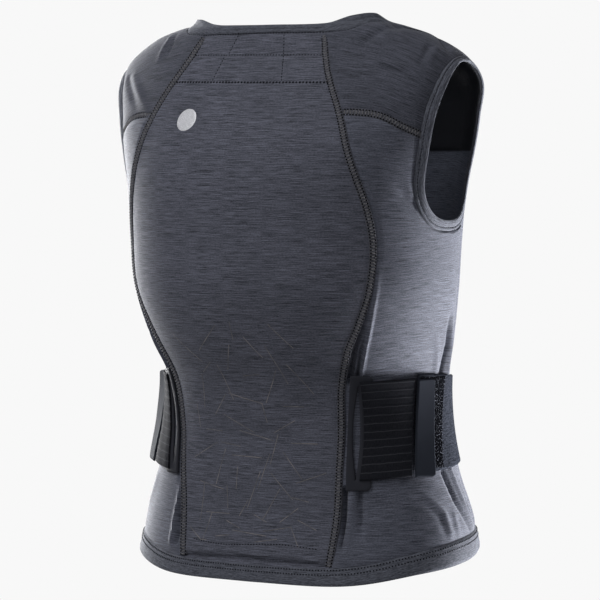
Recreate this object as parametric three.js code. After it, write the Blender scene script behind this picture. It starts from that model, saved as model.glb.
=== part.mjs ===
// Protector vest for the back and chest, shown worn: a padded back panel between two curved seams,
// shoulder yokes, side and front panels, knitted bindings and an elastic waist belt.
// Millimetres, +Z up. The wearer faces +Y, so the back looks along -Y, and +X is the wearer's right.
// Height 0 is the level at which the shoulders carry the vest, on the middle plane.

import * as THREE from "three";

// The body that the vest closes round, one row for each level.
// width is half the girth's width, back and front are depths measured from mid.
const FORM_SECTIONS = [
  { z: -432, width: 156, back: 84, front: 112, mid: 5, backPower: 2.3, frontPower: 2.1 },
  { z: -400, width: 149, back: 77, front: 112, mid: 5, backPower: 2.3, frontPower: 2.1 },
  { z: -368, width: 141, back: 72, front: 108, mid: 5, backPower: 2.3, frontPower: 2.1 },
  { z: -335, width: 130, back: 74, front: 98, mid: 6, backPower: 2.3, frontPower: 2.1 },
  { z: -300, width: 121, back: 82, front: 86, mid: 12, backPower: 2.3, frontPower: 2.1 },
  { z: -262, width: 119, back: 96, front: 76, mid: 16, backPower: 2.3, frontPower: 2.1 },
  { z: -230, width: 127, back: 108, front: 76, mid: 11.5, backPower: 2.3, frontPower: 2.1 },
  { z: -190, width: 136, back: 112, front: 82, mid: 2, backPower: 2.3, frontPower: 2.1 },
  { z: -150, width: 140, back: 108, front: 89, mid: -2, backPower: 2.3, frontPower: 2.1 },
  { z: -110, width: 144, back: 104, front: 94, mid: -5, backPower: 2.3, frontPower: 2.2 },
  { z: -80, width: 149, back: 94, front: 93, mid: -7, backPower: 2.4, frontPower: 2.5 },
  { z: -54, width: 154, back: 79, front: 85, mid: -10, backPower: 2.4, frontPower: 2.9 },
  { z: -28, width: 160, back: 68, front: 70, mid: -9, backPower: 2.3, frontPower: 3 },
  { z: -9, width: 153, back: 54, front: 59, mid: -12, backPower: 2.2, frontPower: 2.6 },
  { z: 8, width: 127, back: 43, front: 55, mid: -15, backPower: 2.1, frontPower: 2.1 },
  { z: 15.5, width: 103, back: 39, front: 54, mid: -17, backPower: 2.1, frontPower: 2 },
  { z: 19, width: 90, back: 37, front: 53, mid: -17, backPower: 2.1, frontPower: 2 },
  { z: 28, width: 83, back: 37, front: 53, mid: -17, backPower: 2.1, frontPower: 2 },
];

// Seam of the back panel: distance from the middle plane at each level.
const BACK_SEAM = [
  { z: -420, across: 69 },
  { z: -360, across: 74 },
  { z: -300, across: 76 },
  { z: -265, across: 79 },
  { z: -240, across: 88 },
  { z: -215, across: 101 },
  { z: -190, across: 111 },
  { z: -158, across: 115 },
  { z: -125, across: 112 },
  { z: -90, across: 102 },
  { z: -54, across: 89 },
  { z: -15, across: 68 },
  { z: 8, across: 58 },
];

// Hem and neck by the angle round the body: 0 is the middle of the back, 180 of the front.
const HEM = [
  { angle: 0, edge: -419, seam: -406 },
  { angle: 30, edge: -418, seam: -404 },
  { angle: 60, edge: -408.5, seam: -392 },
  { angle: 90, edge: -402, seam: -384 },
  { angle: 120, edge: -394, seam: -379 },
  { angle: 180, edge: -392, seam: -377 },
];
const NECK = [
  { angle: 0, edge: 17 },
  { angle: 34, edge: 17.5 },
  { angle: 58, edge: 23.5 },
  { angle: 84, edge: 25.4 },
  { angle: 98, edge: 20 },
  { angle: 112, edge: 12 },
  { angle: 132, edge: 4 },
  { angle: 150, edge: -4 },
  { angle: 166, edge: -15 },
  { angle: 180, edge: -21 },
];
const NECK_BINDING_WIDTH = 8;

// Armhole seen from the side: an egg about (depth, z), and where seams meet it.
// Turns start at the top and run down the back.
const ARMHOLE = { depth: -5, z: -94, back: 43.5, front: 43, up: 85, down: 50.5, power: 2.5 };
const ARM_BINDING = { back: 7, front: 8, up: 4.5, down: 9 };
const ARM_FLARE = 4;
const ARM_TURN = { yokeSeam: 78, frontSeam: -36, sideSeam: 213 };

// Level of the back seam above which the rows of the side panel fan out to the armhole.
const SEAM_FAN_HEIGHT = -205;

// Yoke seam on the back, from the back seam to the armhole, as a share of the way across and its dip.
const YOKE_SEAM = [
  { share: 0, drop: 0 },
  { share: 0.4, drop: 0.16 },
  { share: 0.75, drop: 0.68 },
  { share: 1, drop: 1 },
];
const YOKE_HEIGHT = -52;
const FRONT_YOKE_ANGLE = 115;

// Seam between side and front panels, by angle, and the closure in the middle of the front.
const SIDE_SEAM_HEM_ANGLE = 111;
const ZIP_HALF_WIDTH = 6.6;
const ZIP_GAP = 0.8;
const ZIP_TEETH = { halfWidth: 3, height: 1.4 };

// Walls: cloth, the back pad and the chest pad, thinning to cloth at their seams.
const CLOTH = 2.2;
const BACK_PAD = { thickness: 11, taper: 30 };
const CHEST_PAD = { thickness: 6, taper: 24 };
const PLAIN_WALL = { thickness: CLOTH, taper: 1 };
const BINDING_WALL = 2.8;
const BINDING_CROWN = 0.4;
const SEAM_DIP = 1;
const SEAM_SHOULDER = 10;
const SEAM_GAP = 0.2;
const SEAM_END_PASSES = 8;

// Folds of the side panel: a crease line between two points, its half width and its height.
const SIDE_FOLDS = [
  { fromAngle: 47, fromZ: -206, toAngle: 47, toZ: -252, spread: 5, height: -4 },
  { fromAngle: 57, fromZ: -130, toAngle: 54, toZ: -232, spread: 7, height: 2.4 },
  { fromAngle: 97, fromZ: -205, toAngle: 88, toZ: -250, spread: 6, height: -3 },
  { fromAngle: 38, fromZ: -348, toAngle: 36, toZ: -392, spread: 5, height: -3.5 },
  { fromAngle: 88, fromZ: -345, toAngle: 99, toZ: -376, spread: 7, height: 2.6 },
  { fromAngle: 62, fromZ: -352, toAngle: 70, toZ: -384, spread: 8, height: 1.8 },
];

// Waist belt, by the angle of each station at its top and bottom edge, and its layers above the panel.
const BELT = {
  anchor: { topAngle: 42.8, bottomAngle: 33.8, topZ: -255, bottomZ: -345 },
  anchorEnd: { topAngle: 53, bottomAngle: 45, topZ: -255, bottomZ: -345 },
  strap: { topAngle: 46.5, bottomAngle: 40.5, topZ: -259.5, bottomZ: -337 },
  strapEnd: { topAngle: 73.6, bottomAngle: 66.1, topZ: -257.5, bottomZ: -334.5 },
  tab: { topAngle: 74.4, bottomAngle: 66.9, topZ: -258.5, bottomZ: -335.5 },
  pile: { topAngle: 77, bottomAngle: 71, topZ: -258, bottomZ: -329 },
  pileEnd: { topAngle: 93, bottomAngle: 89, topZ: -258, bottomZ: -329 },
  wing: { topAngle: 76, bottomAngle: 70, topZ: -255, bottomZ: -333 },
  wingEnd: { topAngle: 124, bottomAngle: 119, topZ: -260, bottomZ: -328 },
};
const LAYER = {
  anchor: { from: 1, to: 2.4 },
  strap: { from: 2.8, to: 4.2 },
  wing: { from: 1, to: 2.2 },
  pile: { from: 2.6, to: 3.8 },
  tab: { from: 4.3, to: 6.6 },
};
const ANCHOR_SLOT = { from: 0.2, to: 0.58, bottom: 0.1, top: 0.9, tip: 0.15 };
const ANCHOR_CORNER = { along: 0.25, up: 0.06 };
const STRAP_RIB = { count: 10, height: 0.5 };
const TAB = { length: 17.8, corner: 3, cornerStop: 0.5, rim: 2.2, rimHeight: 0.7 };
const TAB_FLARE = { left: { top: 42, bottom: 14 }, right: { top: -2, bottom: -2 } };

// Number of steps along each stretch of seam, shared by the panels that meet there.
const STEPS = {
  seamToWaist: 12,
  seamToYoke: 12,
  seamToNeck: 5,
  armUpper: 13,
  armFront: 12,
  neckFront: 6,
  back: 14,
  side: 10,
  yoke: 7,
  front: 6,
  zip: 20,
  anchor: 14,
  strapAlong: 5,
  pileAlong: 5,
  wingAlong: 10,
  layerUp: 4,
};

const MATERIALS = {
  back: { color: "#43454e", roughness: 0.9, metalness: 0 },
  yoke: { color: "#464952", roughness: 0.9, metalness: 0 },
  side: { color: "#5a5d68", roughness: 0.85, metalness: 0 },
  edge: { color: "#3f4149", roughness: 0.9, metalness: 0 },
  belt: { color: "#1a1b20", roughness: 0.8, metalness: 0 },
  rubber: { color: "#2c2f37", roughness: 0.55, metalness: 0 },
  pile: { color: "#24262c", roughness: 1, metalness: 0 },
};

const radians = THREE.MathUtils.degToRad;
const degrees = THREE.MathUtils.radToDeg;
const mix = THREE.MathUtils.lerp;
const eased = (share) => THREE.MathUtils.smoothstep(share, 0, 1);
const signedPower = (value, power) => Math.sign(value) * Math.abs(value) ** power;

/** Smooth curve through the rows of a table: the value of a column at a position along its key. */
function smoothTable(rows, key, column, position) {
  const last = rows.length - 1;
  const x = THREE.MathUtils.clamp(position, rows[0][key], rows[last][key]);
  const low = Math.max(rows.findLastIndex((row, i) => i < last && row[key] <= x), 0);
  const slope = (i) => {
    const before = rows[Math.max(i - 1, 0)];
    const after = rows[Math.min(i + 1, last)];
    return (after[column] - before[column]) / (after[key] - before[key]);
  };
  const span = rows[low + 1][key] - rows[low][key];
  const t = (x - rows[low][key]) / span;
  const start = rows[low][column];
  const end = rows[low + 1][column];
  const bend = slope(low) * span * t * (1 - t) ** 2 - slope(low + 1) * span * t ** 2 * (1 - t);
  return start + (end - start) * t ** 2 * (3 - 2 * t) + bend;
}

const formSize = (column, z) => smoothTable(FORM_SECTIONS, "z", column, z);
const hemHeight = (column, angle) => smoothTable(HEM, "angle", column, Math.abs(degrees(angle)));
const neckEdge = (angle) => smoothTable(NECK, "angle", "edge", Math.abs(degrees(angle)));

/** Point of the body form at a place, which is an angle round the body and a height. */
function formPoint({ angle, z }) {
  const isBack = Math.cos(angle) >= 0;
  const power = 2 / formSize(isBack ? "backPower" : "frontPower", z);
  const depth = formSize(isBack ? "back" : "front", z);
  const x = formSize("width", z) * signedPower(Math.sin(angle), power);
  const y = formSize("mid", z) - depth * signedPower(Math.cos(angle), power);
  return new THREE.Vector3(x, y, z);
}

/** Direction along the girth, toward larger angles. */
function girthDirection({ angle, z }) {
  const step = radians(1);
  const ahead = formPoint({ angle: angle + step, z });
  return ahead.sub(formPoint({ angle: angle - step, z })).normalize();
}

/** Outward normal of the form. */
function formNormal(place) {
  const { angle, z } = place;
  const top = FORM_SECTIONS.at(-1).z;
  const above = formPoint({ angle, z: Math.min(z + 1, top) });
  const upward = above.sub(formPoint({ angle, z: z - 1 }));
  return girthDirection(place).cross(upward).normalize();
}

/** Point above the form at a place, by a height along the normal. */
const raised = (place, height) => formPoint(place).addScaledVector(formNormal(place), height);

/** Place on the back, or on the front, at a distance from the middle plane. */
function placeAcross(across, z, isBack = true) {
  const share = Math.min(across / formSize("width", z), 1);
  const angle = Math.asin(share ** (formSize(isBack ? "backPower" : "frontPower", z) / 2));
  return { angle: isBack ? angle : Math.PI - angle, z };
}

/** Place on the right side at a depth along Y. */
function placeAtDepth(depth, z) {
  const behind = formSize("mid", z) - depth;
  const isBack = behind >= 0;
  const share = Math.min(Math.abs(behind) / formSize(isBack ? "back" : "front", z), 1);
  const angle = Math.acos(share ** (formSize(isBack ? "backPower" : "frontPower", z) / 2));
  return { angle: isBack ? angle : Math.PI - angle, z };
}

const mixPlaces = (a, b, share) => ({ angle: mix(a.angle, b.angle, share), z: mix(a.z, b.z, share) });

/** Places along a curve given as a function of a share from 0 to 1, ends included. */
function sample(steps, curve) {
  return Array.from({ length: steps + 1 }, (unused, i) => curve(i / steps));
}

/** One run of places after another, with the shared end kept once. */
const joined = (first, second) => [...first, ...second.slice(1)];

const mirroredPlaces = (places) => places.map(({ angle, z }) => ({ angle: -angle, z }));

/** Grid of places spanned by four edges, so that neighbours share every edge exactly. */
function spannedGrid({ left, right, bottom, top }) {
  const rows = left.length - 1;
  const columns = bottom.length - 1;
  const blend = (key, r, c) => {
    const t = r / rows;
    const s = c / columns;
    const between = mix(left[r][key], right[r][key], s) + mix(bottom[c][key], top[c][key], t);
    const lower = mix(left[0][key], right[0][key], s);
    const upper = mix(left[rows][key], right[rows][key], s);
    return between - mix(lower, upper, t);
  };
  const place = (r, c) => ({ angle: blend("angle", r, c), z: blend("z", r, c) });
  return left.map((unused, r) => bottom.map((same, c) => place(r, c)));
}

/** Distance of each grid point from the nearest edge of its grid. */
function edgeDistances(points) {
  const along = (line) => {
    let total = 0;
    const run = line.map((point, i) => (total += i ? point.distanceTo(line[i - 1]) : 0));
    return run.map((value) => Math.min(value, total - value));
  };
  const acrossRows = points.map(along);
  const alongColumns = points[0].map((unused, c) => along(points.map((row) => row[c])));
  return points.map((row, r) => row.map((unused, c) => Math.min(acrossRows[r][c], alongColumns[c][r])));
}

/** Draws the rim of a grid in by a gap, so that neighbouring pieces stay apart. */
function drawnIn(grid, gap, isLoop = false) {
  const pull = (edge, inner) => edge.add(inner.clone().sub(edge).setLength(gap));
  const last = grid[0].length - 1;
  for (const row of grid) {
    pull(row[0], row[1]);
    pull(row[last], row[last - 1]);
  }
  if (!isLoop) {
    grid[0].forEach((point, c) => pull(point, grid[1][c]));
    grid.at(-1).forEach((point, c) => pull(point, grid.at(-2)[c]));
  }
  return grid;
}

/** Closed wall between an outer and an inner grid of points; a loop's last row meets its first. */
function wallGeometry(outer, inner, isLoop = false) {
  const rows = outer.length;
  const columns = outer[0].length;
  const at = (layer, r, c) => (layer * rows + (r % rows)) * columns + c;
  const index = [];
  const quad = (a, b, c, d) => index.push(a, b, c, a, c, d);
  const lastColumn = columns - 1;
  const rowSteps = isLoop ? rows : rows - 1;
  for (let r = 0; r < rowSteps; r++) {
    for (let c = 0; c < lastColumn; c++) {
      quad(at(0, r, c), at(0, r, c + 1), at(0, r + 1, c + 1), at(0, r + 1, c));
      quad(at(1, r, c), at(1, r + 1, c), at(1, r + 1, c + 1), at(1, r, c + 1));
    }
    quad(at(0, r, 0), at(0, r + 1, 0), at(1, r + 1, 0), at(1, r, 0));
    quad(at(0, r, lastColumn), at(1, r, lastColumn), at(1, r + 1, lastColumn), at(0, r + 1, lastColumn));
  }
  for (let c = 0; c < lastColumn && !isLoop; c++) {
    quad(at(0, 0, c), at(1, 0, c), at(1, 0, c + 1), at(0, 0, c + 1));
    quad(at(0, rows - 1, c), at(0, rows - 1, c + 1), at(1, rows - 1, c + 1), at(1, rows - 1, c));
  }
  const geometry = new THREE.BufferGeometry();
  const positions = [...outer, ...inner].flat().flatMap((point) => point.toArray());
  geometry.setAttribute("position", new THREE.Float32BufferAttribute(positions, 3));
  geometry.setIndex(index);
  geometry.computeVertexNormals();
  return geometry;
}

/** The same wall on the other side of the middle plane, with its faces still pointing out. */
function mirroredGeometry(geometry) {
  const copy = geometry.clone().scale(-1, 1, 1);
  const index = copy.index.array;
  for (let i = 0; i < index.length; i += 3) {
    [index[i + 1], index[i + 2]] = [index[i + 2], index[i + 1]];
  }
  copy.computeVertexNormals();
  return copy;
}

/** Height of the folds at a point of the side panel: each fades off its line and toward its ends. */
function foldHeight(point) {
  const line = new THREE.Line3();
  const nearest = new THREE.Vector3();
  let height = 0;
  for (const fold of SIDE_FOLDS) {
    line.start.copy(formPoint({ angle: radians(fold.fromAngle), z: fold.fromZ }));
    line.end.copy(formPoint({ angle: radians(fold.toAngle), z: fold.toZ }));
    const share = line.closestPointToPointParameter(point, true);
    line.at(share, nearest);
    const distance = nearest.distanceTo(point) / fold.spread;
    height += fold.height * Math.exp(-(distance ** 2)) * (1 - (2 * share - 1) ** 4);
  }
  return height;
}

/** Cloth panel inside four edges: its seams dip, its pad thins toward them, and folds may cross it. */
function clothPanel(edges, pad, relief = () => 0) {
  const places = spannedGrid(edges);
  const surface = places.map((row) => row.map(formPoint));
  const reach = edgeDistances(surface);
  const lifted = (height) =>
    places.map((row, r) =>
      row.map((place, c) => {
        const point = surface[r][c].clone();
        const rise = eased(reach[r][c] / SEAM_SHOULDER);
        const face = (rise - 1) * SEAM_DIP + rise * relief(point);
        return point.addScaledVector(formNormal(place), face - height(reach[r][c]));
      }),
    );
  const padding = (distance) => mix(CLOTH, pad.thickness, eased(distance / pad.taper));
  const outer = drawnIn(lifted(() => 0), SEAM_GAP);
  const inner = drawnIn(lifted(padding), SEAM_GAP);
  return wallGeometry(outer, inner);
}

/** Folded strip from a seam to a free edge, crowned along its middle; a flare lifts its free edge. */
function bindingStrip(seam, edge, { isLoop = false, flareAt = () => 0 } = {}) {
  const layer = (depth) => {
    const across = seam.map((place, i) => {
      const flare = flareAt(i);
      const heights = [-SEAM_DIP, BINDING_CROWN + flare / 2, flare];
      const spots = [place, mixPlaces(place, edge[i], 0.5), edge[i]];
      return spots.map((spot, c) => raised(spot, heights[c] - depth));
    });
    return drawnIn(across, SEAM_GAP, isLoop);
  };
  return wallGeometry(layer(0), layer(BINDING_WALL), isLoop);
}

/** Place on the armhole's edge at a turn in degrees; inset moves it in toward the opening. */
function armholePlace(turn, inset = { back: 0, front: 0, up: 0, down: 0 }) {
  const sine = Math.sin(radians(turn));
  const cosine = Math.cos(radians(turn));
  const side = sine >= 0 ? "back" : "front";
  const end = cosine >= 0 ? "up" : "down";
  const power = 2 / ARMHOLE.power;
  const depth = ARMHOLE.depth - (ARMHOLE[side] - inset[side]) * signedPower(sine, power);
  const z = ARMHOLE.z + (ARMHOLE[end] - inset[end]) * signedPower(cosine, power);
  return placeAtDepth(depth, z);
}

const backSeamPlace = (z) => placeAcross(smoothTable(BACK_SEAM, "z", "across", z), z);
const hemPlace = (column, angle) => ({ angle, z: hemHeight(column, angle) });
const neckPlace = (angle, drop) => ({ angle, z: neckEdge(angle) - drop });

/** End of the back seam on a curve of heights: a few steps settle both the angle and the height. */
function backSeamEnd(startZ, heightAt) {
  let z = startZ;
  for (let pass = 0; pass < SEAM_END_PASSES; pass++) {
    z = heightAt(backSeamPlace(z).angle);
  }
  return z;
}

// Seam lines shared by the panels on the right side.
const seamFoot = backSeamEnd(HEM[0].seam, (angle) => hemHeight("seam", angle));
const seamHead = backSeamEnd(NECK[0].edge, (angle) => neckEdge(angle) - NECK_BINDING_WIDTH);
const seamLower = joined(
  sample(STEPS.seamToWaist, (t) => backSeamPlace(mix(seamFoot, SEAM_FAN_HEIGHT, t))),
  sample(STEPS.seamToYoke, (t) => backSeamPlace(mix(SEAM_FAN_HEIGHT, YOKE_HEIGHT, t))),
);
const seamUpper = sample(STEPS.seamToNeck, (t) => backSeamPlace(mix(YOKE_HEIGHT, seamHead, t)));

const armTurn = (from, to) => (t, inset) => armholePlace(mix(from, to, t), inset);
const armLowerCurve = armTurn(ARM_TURN.sideSeam, ARM_TURN.yokeSeam);
const armUpperCurve = armTurn(ARM_TURN.yokeSeam, ARM_TURN.frontSeam);
const armFrontCurve = armTurn(ARM_TURN.sideSeam - 360, ARM_TURN.frontSeam);
const armLower = sample(STEPS.seamToYoke, (t) => armLowerCurve(t));
const armUpper = sample(STEPS.armUpper, (t) => armUpperCurve(t));
const armFront = sample(STEPS.armFront, (t) => armFrontCurve(t));

const sideSeamFoot = hemPlace("seam", radians(SIDE_SEAM_HEM_ANGLE));
const sideSeam = sample(STEPS.seamToWaist, (t) => mixPlaces(sideSeamFoot, armLower[0], t));

const yokeSeam = sample(STEPS.yoke, (t) => {
  const start = seamUpper[0];
  const end = armUpper[0];
  const drop = smoothTable(YOKE_SEAM, "share", "drop", t);
  return { angle: mix(start.angle, end.angle, t), z: mix(start.z, end.z, drop) };
});

const zipEdge = (z) => placeAcross(ZIP_HALF_WIDTH + ZIP_GAP, z, false);
const neckSideStart = seamUpper.at(-1).angle;
const neckSideEnd = radians(FRONT_YOKE_ANGLE);
const neckFrontEnd = zipEdge(neckEdge(Math.PI) - NECK_BINDING_WIDTH).angle;
const neckSideAngles = sample(STEPS.armUpper - STEPS.seamToNeck, (t) => mix(neckSideStart, neckSideEnd, t));
const neckFrontAngles = sample(STEPS.neckFront, (t) => mix(neckFrontEnd, neckSideEnd, t));
const neckBackAngles = sample(STEPS.back, (t) => mix(-neckSideStart, neckSideStart, t));
const neckLower = (angle) => neckPlace(angle, NECK_BINDING_WIDTH);

const frontYokeSeam = sample(STEPS.front, (t) => mixPlaces(armUpper.at(-1), neckLower(neckSideEnd), t));
const yokeFrontSeam = sample(STEPS.yoke, (t) => mixPlaces(neckLower(neckSideEnd), armUpper.at(-1), t));

const hemFrontEnd = zipEdge(hemHeight("seam", Math.PI)).angle;
const hemBackAngles = sample(STEPS.back, (t) => mix(-seamLower[0].angle, seamLower[0].angle, t));
const hemSideAngles = sample(STEPS.side, (t) => mix(seamLower[0].angle, sideSeamFoot.angle, t));
const hemFrontAngles = sample(STEPS.front, (t) => mix(sideSeamFoot.angle, hemFrontEnd, t));
const hemSeam = (angles) => angles.map((angle) => hemPlace("seam", angle));
const centreFrontSteps = STEPS.seamToWaist + STEPS.armFront - STEPS.neckFront;
const centreFront = sample(centreFrontSteps, (t) => {
  const foot = hemPlace("seam", hemFrontEnd);
  return zipEdge(mix(foot.z, neckLower(neckFrontEnd).z, t));
});

function backPanel() {
  const right = joined(seamLower, seamUpper);
  const bottom = hemSeam(hemBackAngles);
  const top = neckBackAngles.map(neckLower);
  return clothPanel({ left: mirroredPlaces(right), right, bottom, top }, BACK_PAD);
}

function sidePanel() {
  const right = joined(sideSeam, armLower);
  const bottom = hemSeam(hemSideAngles);
  const top = sample(STEPS.side, (t) => {
    const along = t * STEPS.yoke;
    const i = Math.min(Math.floor(along), STEPS.yoke - 1);
    return mixPlaces(yokeSeam[i], yokeSeam[i + 1], along - i);
  });
  return clothPanel({ left: seamLower, right, bottom, top }, PLAIN_WALL, foldHeight);
}

function yoke() {
  const left = joined(seamUpper, neckSideAngles.map(neckLower));
  return clothPanel({ left, right: armUpper, bottom: yokeSeam, top: yokeFrontSeam }, PLAIN_WALL);
}

function frontPanel() {
  const left = joined(sideSeam, armFront);
  const right = joined(centreFront, neckFrontAngles.map(neckLower));
  const bottom = hemSeam(hemFrontAngles);
  return clothPanel({ left, right, bottom, top: frontYokeSeam }, CHEST_PAD);
}

/** Angles all round from the closure's left edge to its right edge, out of those of one side. */
function allRound(backAngles, sideAngles) {
  const left = sideAngles.map((angle) => -angle).reverse();
  return joined(joined(left, backAngles), sideAngles);
}

function neckBinding() {
  const side = joined(neckSideAngles, [...neckFrontAngles].reverse());
  const angles = allRound(neckBackAngles, side).reverse();
  return bindingStrip(angles.map(neckLower), angles.map((angle) => neckPlace(angle, 0)));
}

function hemBand() {
  const side = joined(hemSideAngles, hemFrontAngles);
  const angles = allRound(hemBackAngles, side);
  return bindingStrip(hemSeam(angles), angles.map((angle) => hemPlace("edge", angle)));
}

function armholeBinding() {
  const back = joined(armLower, armUpper);
  const front = [...armFront].reverse().slice(1, -1);
  const inside = (steps, curve) => sample(steps, (t) => curve(t, ARM_BINDING));
  const innerBack = joined(inside(STEPS.seamToYoke, armLowerCurve), inside(STEPS.armUpper, armUpperCurve));
  const innerFront = inside(STEPS.armFront, armFrontCurve).reverse().slice(1, -1);
  const flareAt = (i) => ARM_FLARE * Math.max(Math.sin((Math.PI * i) / back.length), 0) ** 2;
  return bindingStrip([...back, ...front], [...innerBack, ...innerFront], { isLoop: true, flareAt });
}

/** Closure down the middle of the front: two tapes and a raised row of teeth. */
function frontZip() {
  const foot = hemHeight("edge", Math.PI);
  const head = neckEdge(Math.PI);
  const across = [-ZIP_HALF_WIDTH, -ZIP_TEETH.halfWidth, 0, ZIP_TEETH.halfWidth, ZIP_HALF_WIDTH];
  const rise = [-SEAM_DIP, -SEAM_DIP, ZIP_TEETH.height, -SEAM_DIP, -SEAM_DIP];
  const layer = (depthAt) =>
    sample(STEPS.zip, (t) =>
      across.map((x, c) => raised(zipPlace(-x, mix(foot, head, t)), depthAt(c))),
    );
  return wallGeometry(layer((c) => rise[c]), layer(() => -SEAM_DIP - CLOTH));
}

function zipPlace(across, z) {
  const { angle } = placeAcross(Math.abs(across), z, false);
  return { angle: across < 0 ? 2 * Math.PI - angle : angle, z };
}

/** Place on the belt between two of its stations: share along the girth, and share of its height. */
function beltPlace(from, to, along, up) {
  const angle = (station) => radians(mix(station.bottomAngle, station.topAngle, up));
  const height = (station) => mix(station.bottomZ, station.topZ, up);
  return mixPlaces({ angle: angle(from), z: height(from) }, { angle: angle(to), z: height(to) }, along);
}

/** Flat belt layer between two stations, with a relief on its outer face. */
function beltBand(from, to, layer, columns, rows, relief = () => 0) {
  const grid = (heightAt) =>
    sample(rows, (up) => sample(columns, (along) => raised(beltPlace(from, to, along, up), heightAt(up))));
  return wallGeometry(grid((up) => layer.to + relief(up * rows)), grid(() => layer.from));
}

/** Patch with a tall slot that narrows toward both ends, and rounded corners at its free edge. */
function beltAnchor() {
  const heights = sample(STEPS.anchor, (t) => (1 - Math.cos(Math.PI * t)) / 2);
  const middle = (ANCHOR_SLOT.from + ANCHOR_SLOT.to) / 2;
  const half = (ANCHOR_SLOT.to - ANCHOR_SLOT.from) / 2;
  const slotHalf = (up) => half * Math.max(Math.sin(Math.PI * up), ANCHOR_SLOT.tip);
  const slotUp = (up) => mix(ANCHOR_SLOT.bottom, ANCHOR_SLOT.top, up);
  const freeEdge = (up) => {
    const short = Math.max(1 - Math.min(up, 1 - up) / ANCHOR_CORNER.up, 0);
    return 1 - ANCHOR_CORNER.along * (1 - Math.sqrt(1 - short ** 2));
  };
  const ring = (height) => {
    const spot = (along, up) => raised(beltPlace(BELT.anchor, BELT.anchorEnd, along, up), height);
    const rightSide = heights.map((up) => [
      spot(middle + slotHalf(up), slotUp(up)),
      spot(freeEdge(up), up),
    ]);
    const leftSide = heights.map((up) => [spot(middle - slotHalf(up), slotUp(up)), spot(0, up)]);
    return [...rightSide, ...leftSide.reverse()];
  };
  return wallGeometry(ring(LAYER.anchor.to), ring(LAYER.anchor.from), true);
}

/** Elastic woven in ribs that run along the belt. */
function beltStrap() {
  const rows = STRAP_RIB.count * 2;
  const rib = (row) => (Math.round(row) % 2 ? STRAP_RIB.height : 0);
  return beltBand(BELT.strap, BELT.strapEnd, LAYER.strap, STEPS.strapAlong, rows, rib);
}

/** Stiff rubber end of the elastic, straight from where it leaves the belt, with a raised rim. */
function pullTab(flare) {
  const height = BELT.tab.topZ - BELT.tab.bottomZ;
  const stops = (length) => {
    const near = [0, TAB.cornerStop, TAB.rim, TAB.rim + TAB.rimHeight];
    return [...near, length / 2, ...near.map((distance) => length - distance).reverse()];
  };
  const edgeOf = (value, length) => Math.min(value, length - value);
  const rimAt = (along, up) => {
    const nearest = Math.min(edgeOf(along, TAB.length), edgeOf(up, height));
    return nearest <= TAB.rim ? TAB.rimHeight : 0;
  };
  const roundedLength = (up) => {
    const short = Math.max(TAB.corner - edgeOf(up, height), 0);
    return TAB.length - TAB.corner + Math.sqrt(TAB.corner ** 2 - short ** 2);
  };
  const grid = (base, withRim) =>
    stops(height).map((up) =>
      stops(TAB.length).map((along) => {
        const start = beltPlace(BELT.tab, BELT.tab, 0, up / height);
        const away = girthDirection(start);
        const out = formNormal(start);
        const turned = radians(mix(flare.bottom, flare.top, up / height));
        const reach = (along / TAB.length) * roundedLength(up);
        const rise = base + (withRim ? rimAt(along, up) : 0);
        const point = formPoint(start).addScaledVector(out, LAYER.tab.from);
        point.addScaledVector(away, reach * Math.cos(turned) - rise * Math.sin(turned));
        return point.addScaledVector(out, reach * Math.sin(turned) + rise * Math.cos(turned));
      }),
    );
  return wallGeometry(grid(LAYER.tab.to - LAYER.tab.from, true), grid(0, false));
}

const vest = new THREE.Group();
vest.name = "protector_vest";

function addPiece(name, geometry, finish) {
  const mesh = new THREE.Mesh(geometry, new THREE.MeshStandardMaterial(MATERIALS[finish]));
  mesh.name = name;
  vest.add(mesh);
}

/** A piece on the wearer's right and its mirror image on the left. */
function addPair(name, geometry, finish) {
  addPiece(`${name}_right`, geometry, finish);
  addPiece(`${name}_left`, mirroredGeometry(geometry), finish);
}

addPiece("back_panel", backPanel(), "back");
addPair("yoke", yoke(), "yoke");
addPair("side_panel", sidePanel(), "side");
addPair("front_panel", frontPanel(), "side");
addPiece("front_zip", frontZip(), "belt");
addPiece("neck_binding", neckBinding(), "edge");
addPair("armhole_binding", armholeBinding(), "edge");
addPiece("hem_band", hemBand(), "edge");
addPair("belt_anchor", beltAnchor(), "belt");
addPair("belt_strap", beltStrap(), "belt");
const loopPatch = beltBand(BELT.pile, BELT.pileEnd, LAYER.pile, STEPS.pileAlong, STEPS.layerUp);
const frontTab = beltBand(BELT.wing, BELT.wingEnd, LAYER.wing, STEPS.wingAlong, STEPS.layerUp);
addPair("loop_patch", loopPatch, "pile");
addPair("front_tab", frontTab, "side");
addPiece("pull_tab_right", pullTab(TAB_FLARE.right), "rubber");
addPiece("pull_tab_left", mirroredGeometry(pullTab(TAB_FLARE.left)), "rubber");

export default vest;
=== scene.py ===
"""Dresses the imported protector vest: cloth panels, seams, bindings and waist belt, in metres, in the CAD frame.

The wearer faces +Y, so the back looks along -Y, and +X is the wearer's right. Tables are in millimetres.
"""

import logging
import math
from collections.abc import Callable, Mapping, Sequence
from dataclasses import dataclass, field
from enum import Enum
from functools import cached_property, reduce
from typing import Generic, TypeVar

import bpy
import numpy as np
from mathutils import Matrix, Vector
from mathutils.bvhtree import BVHTree


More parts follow.
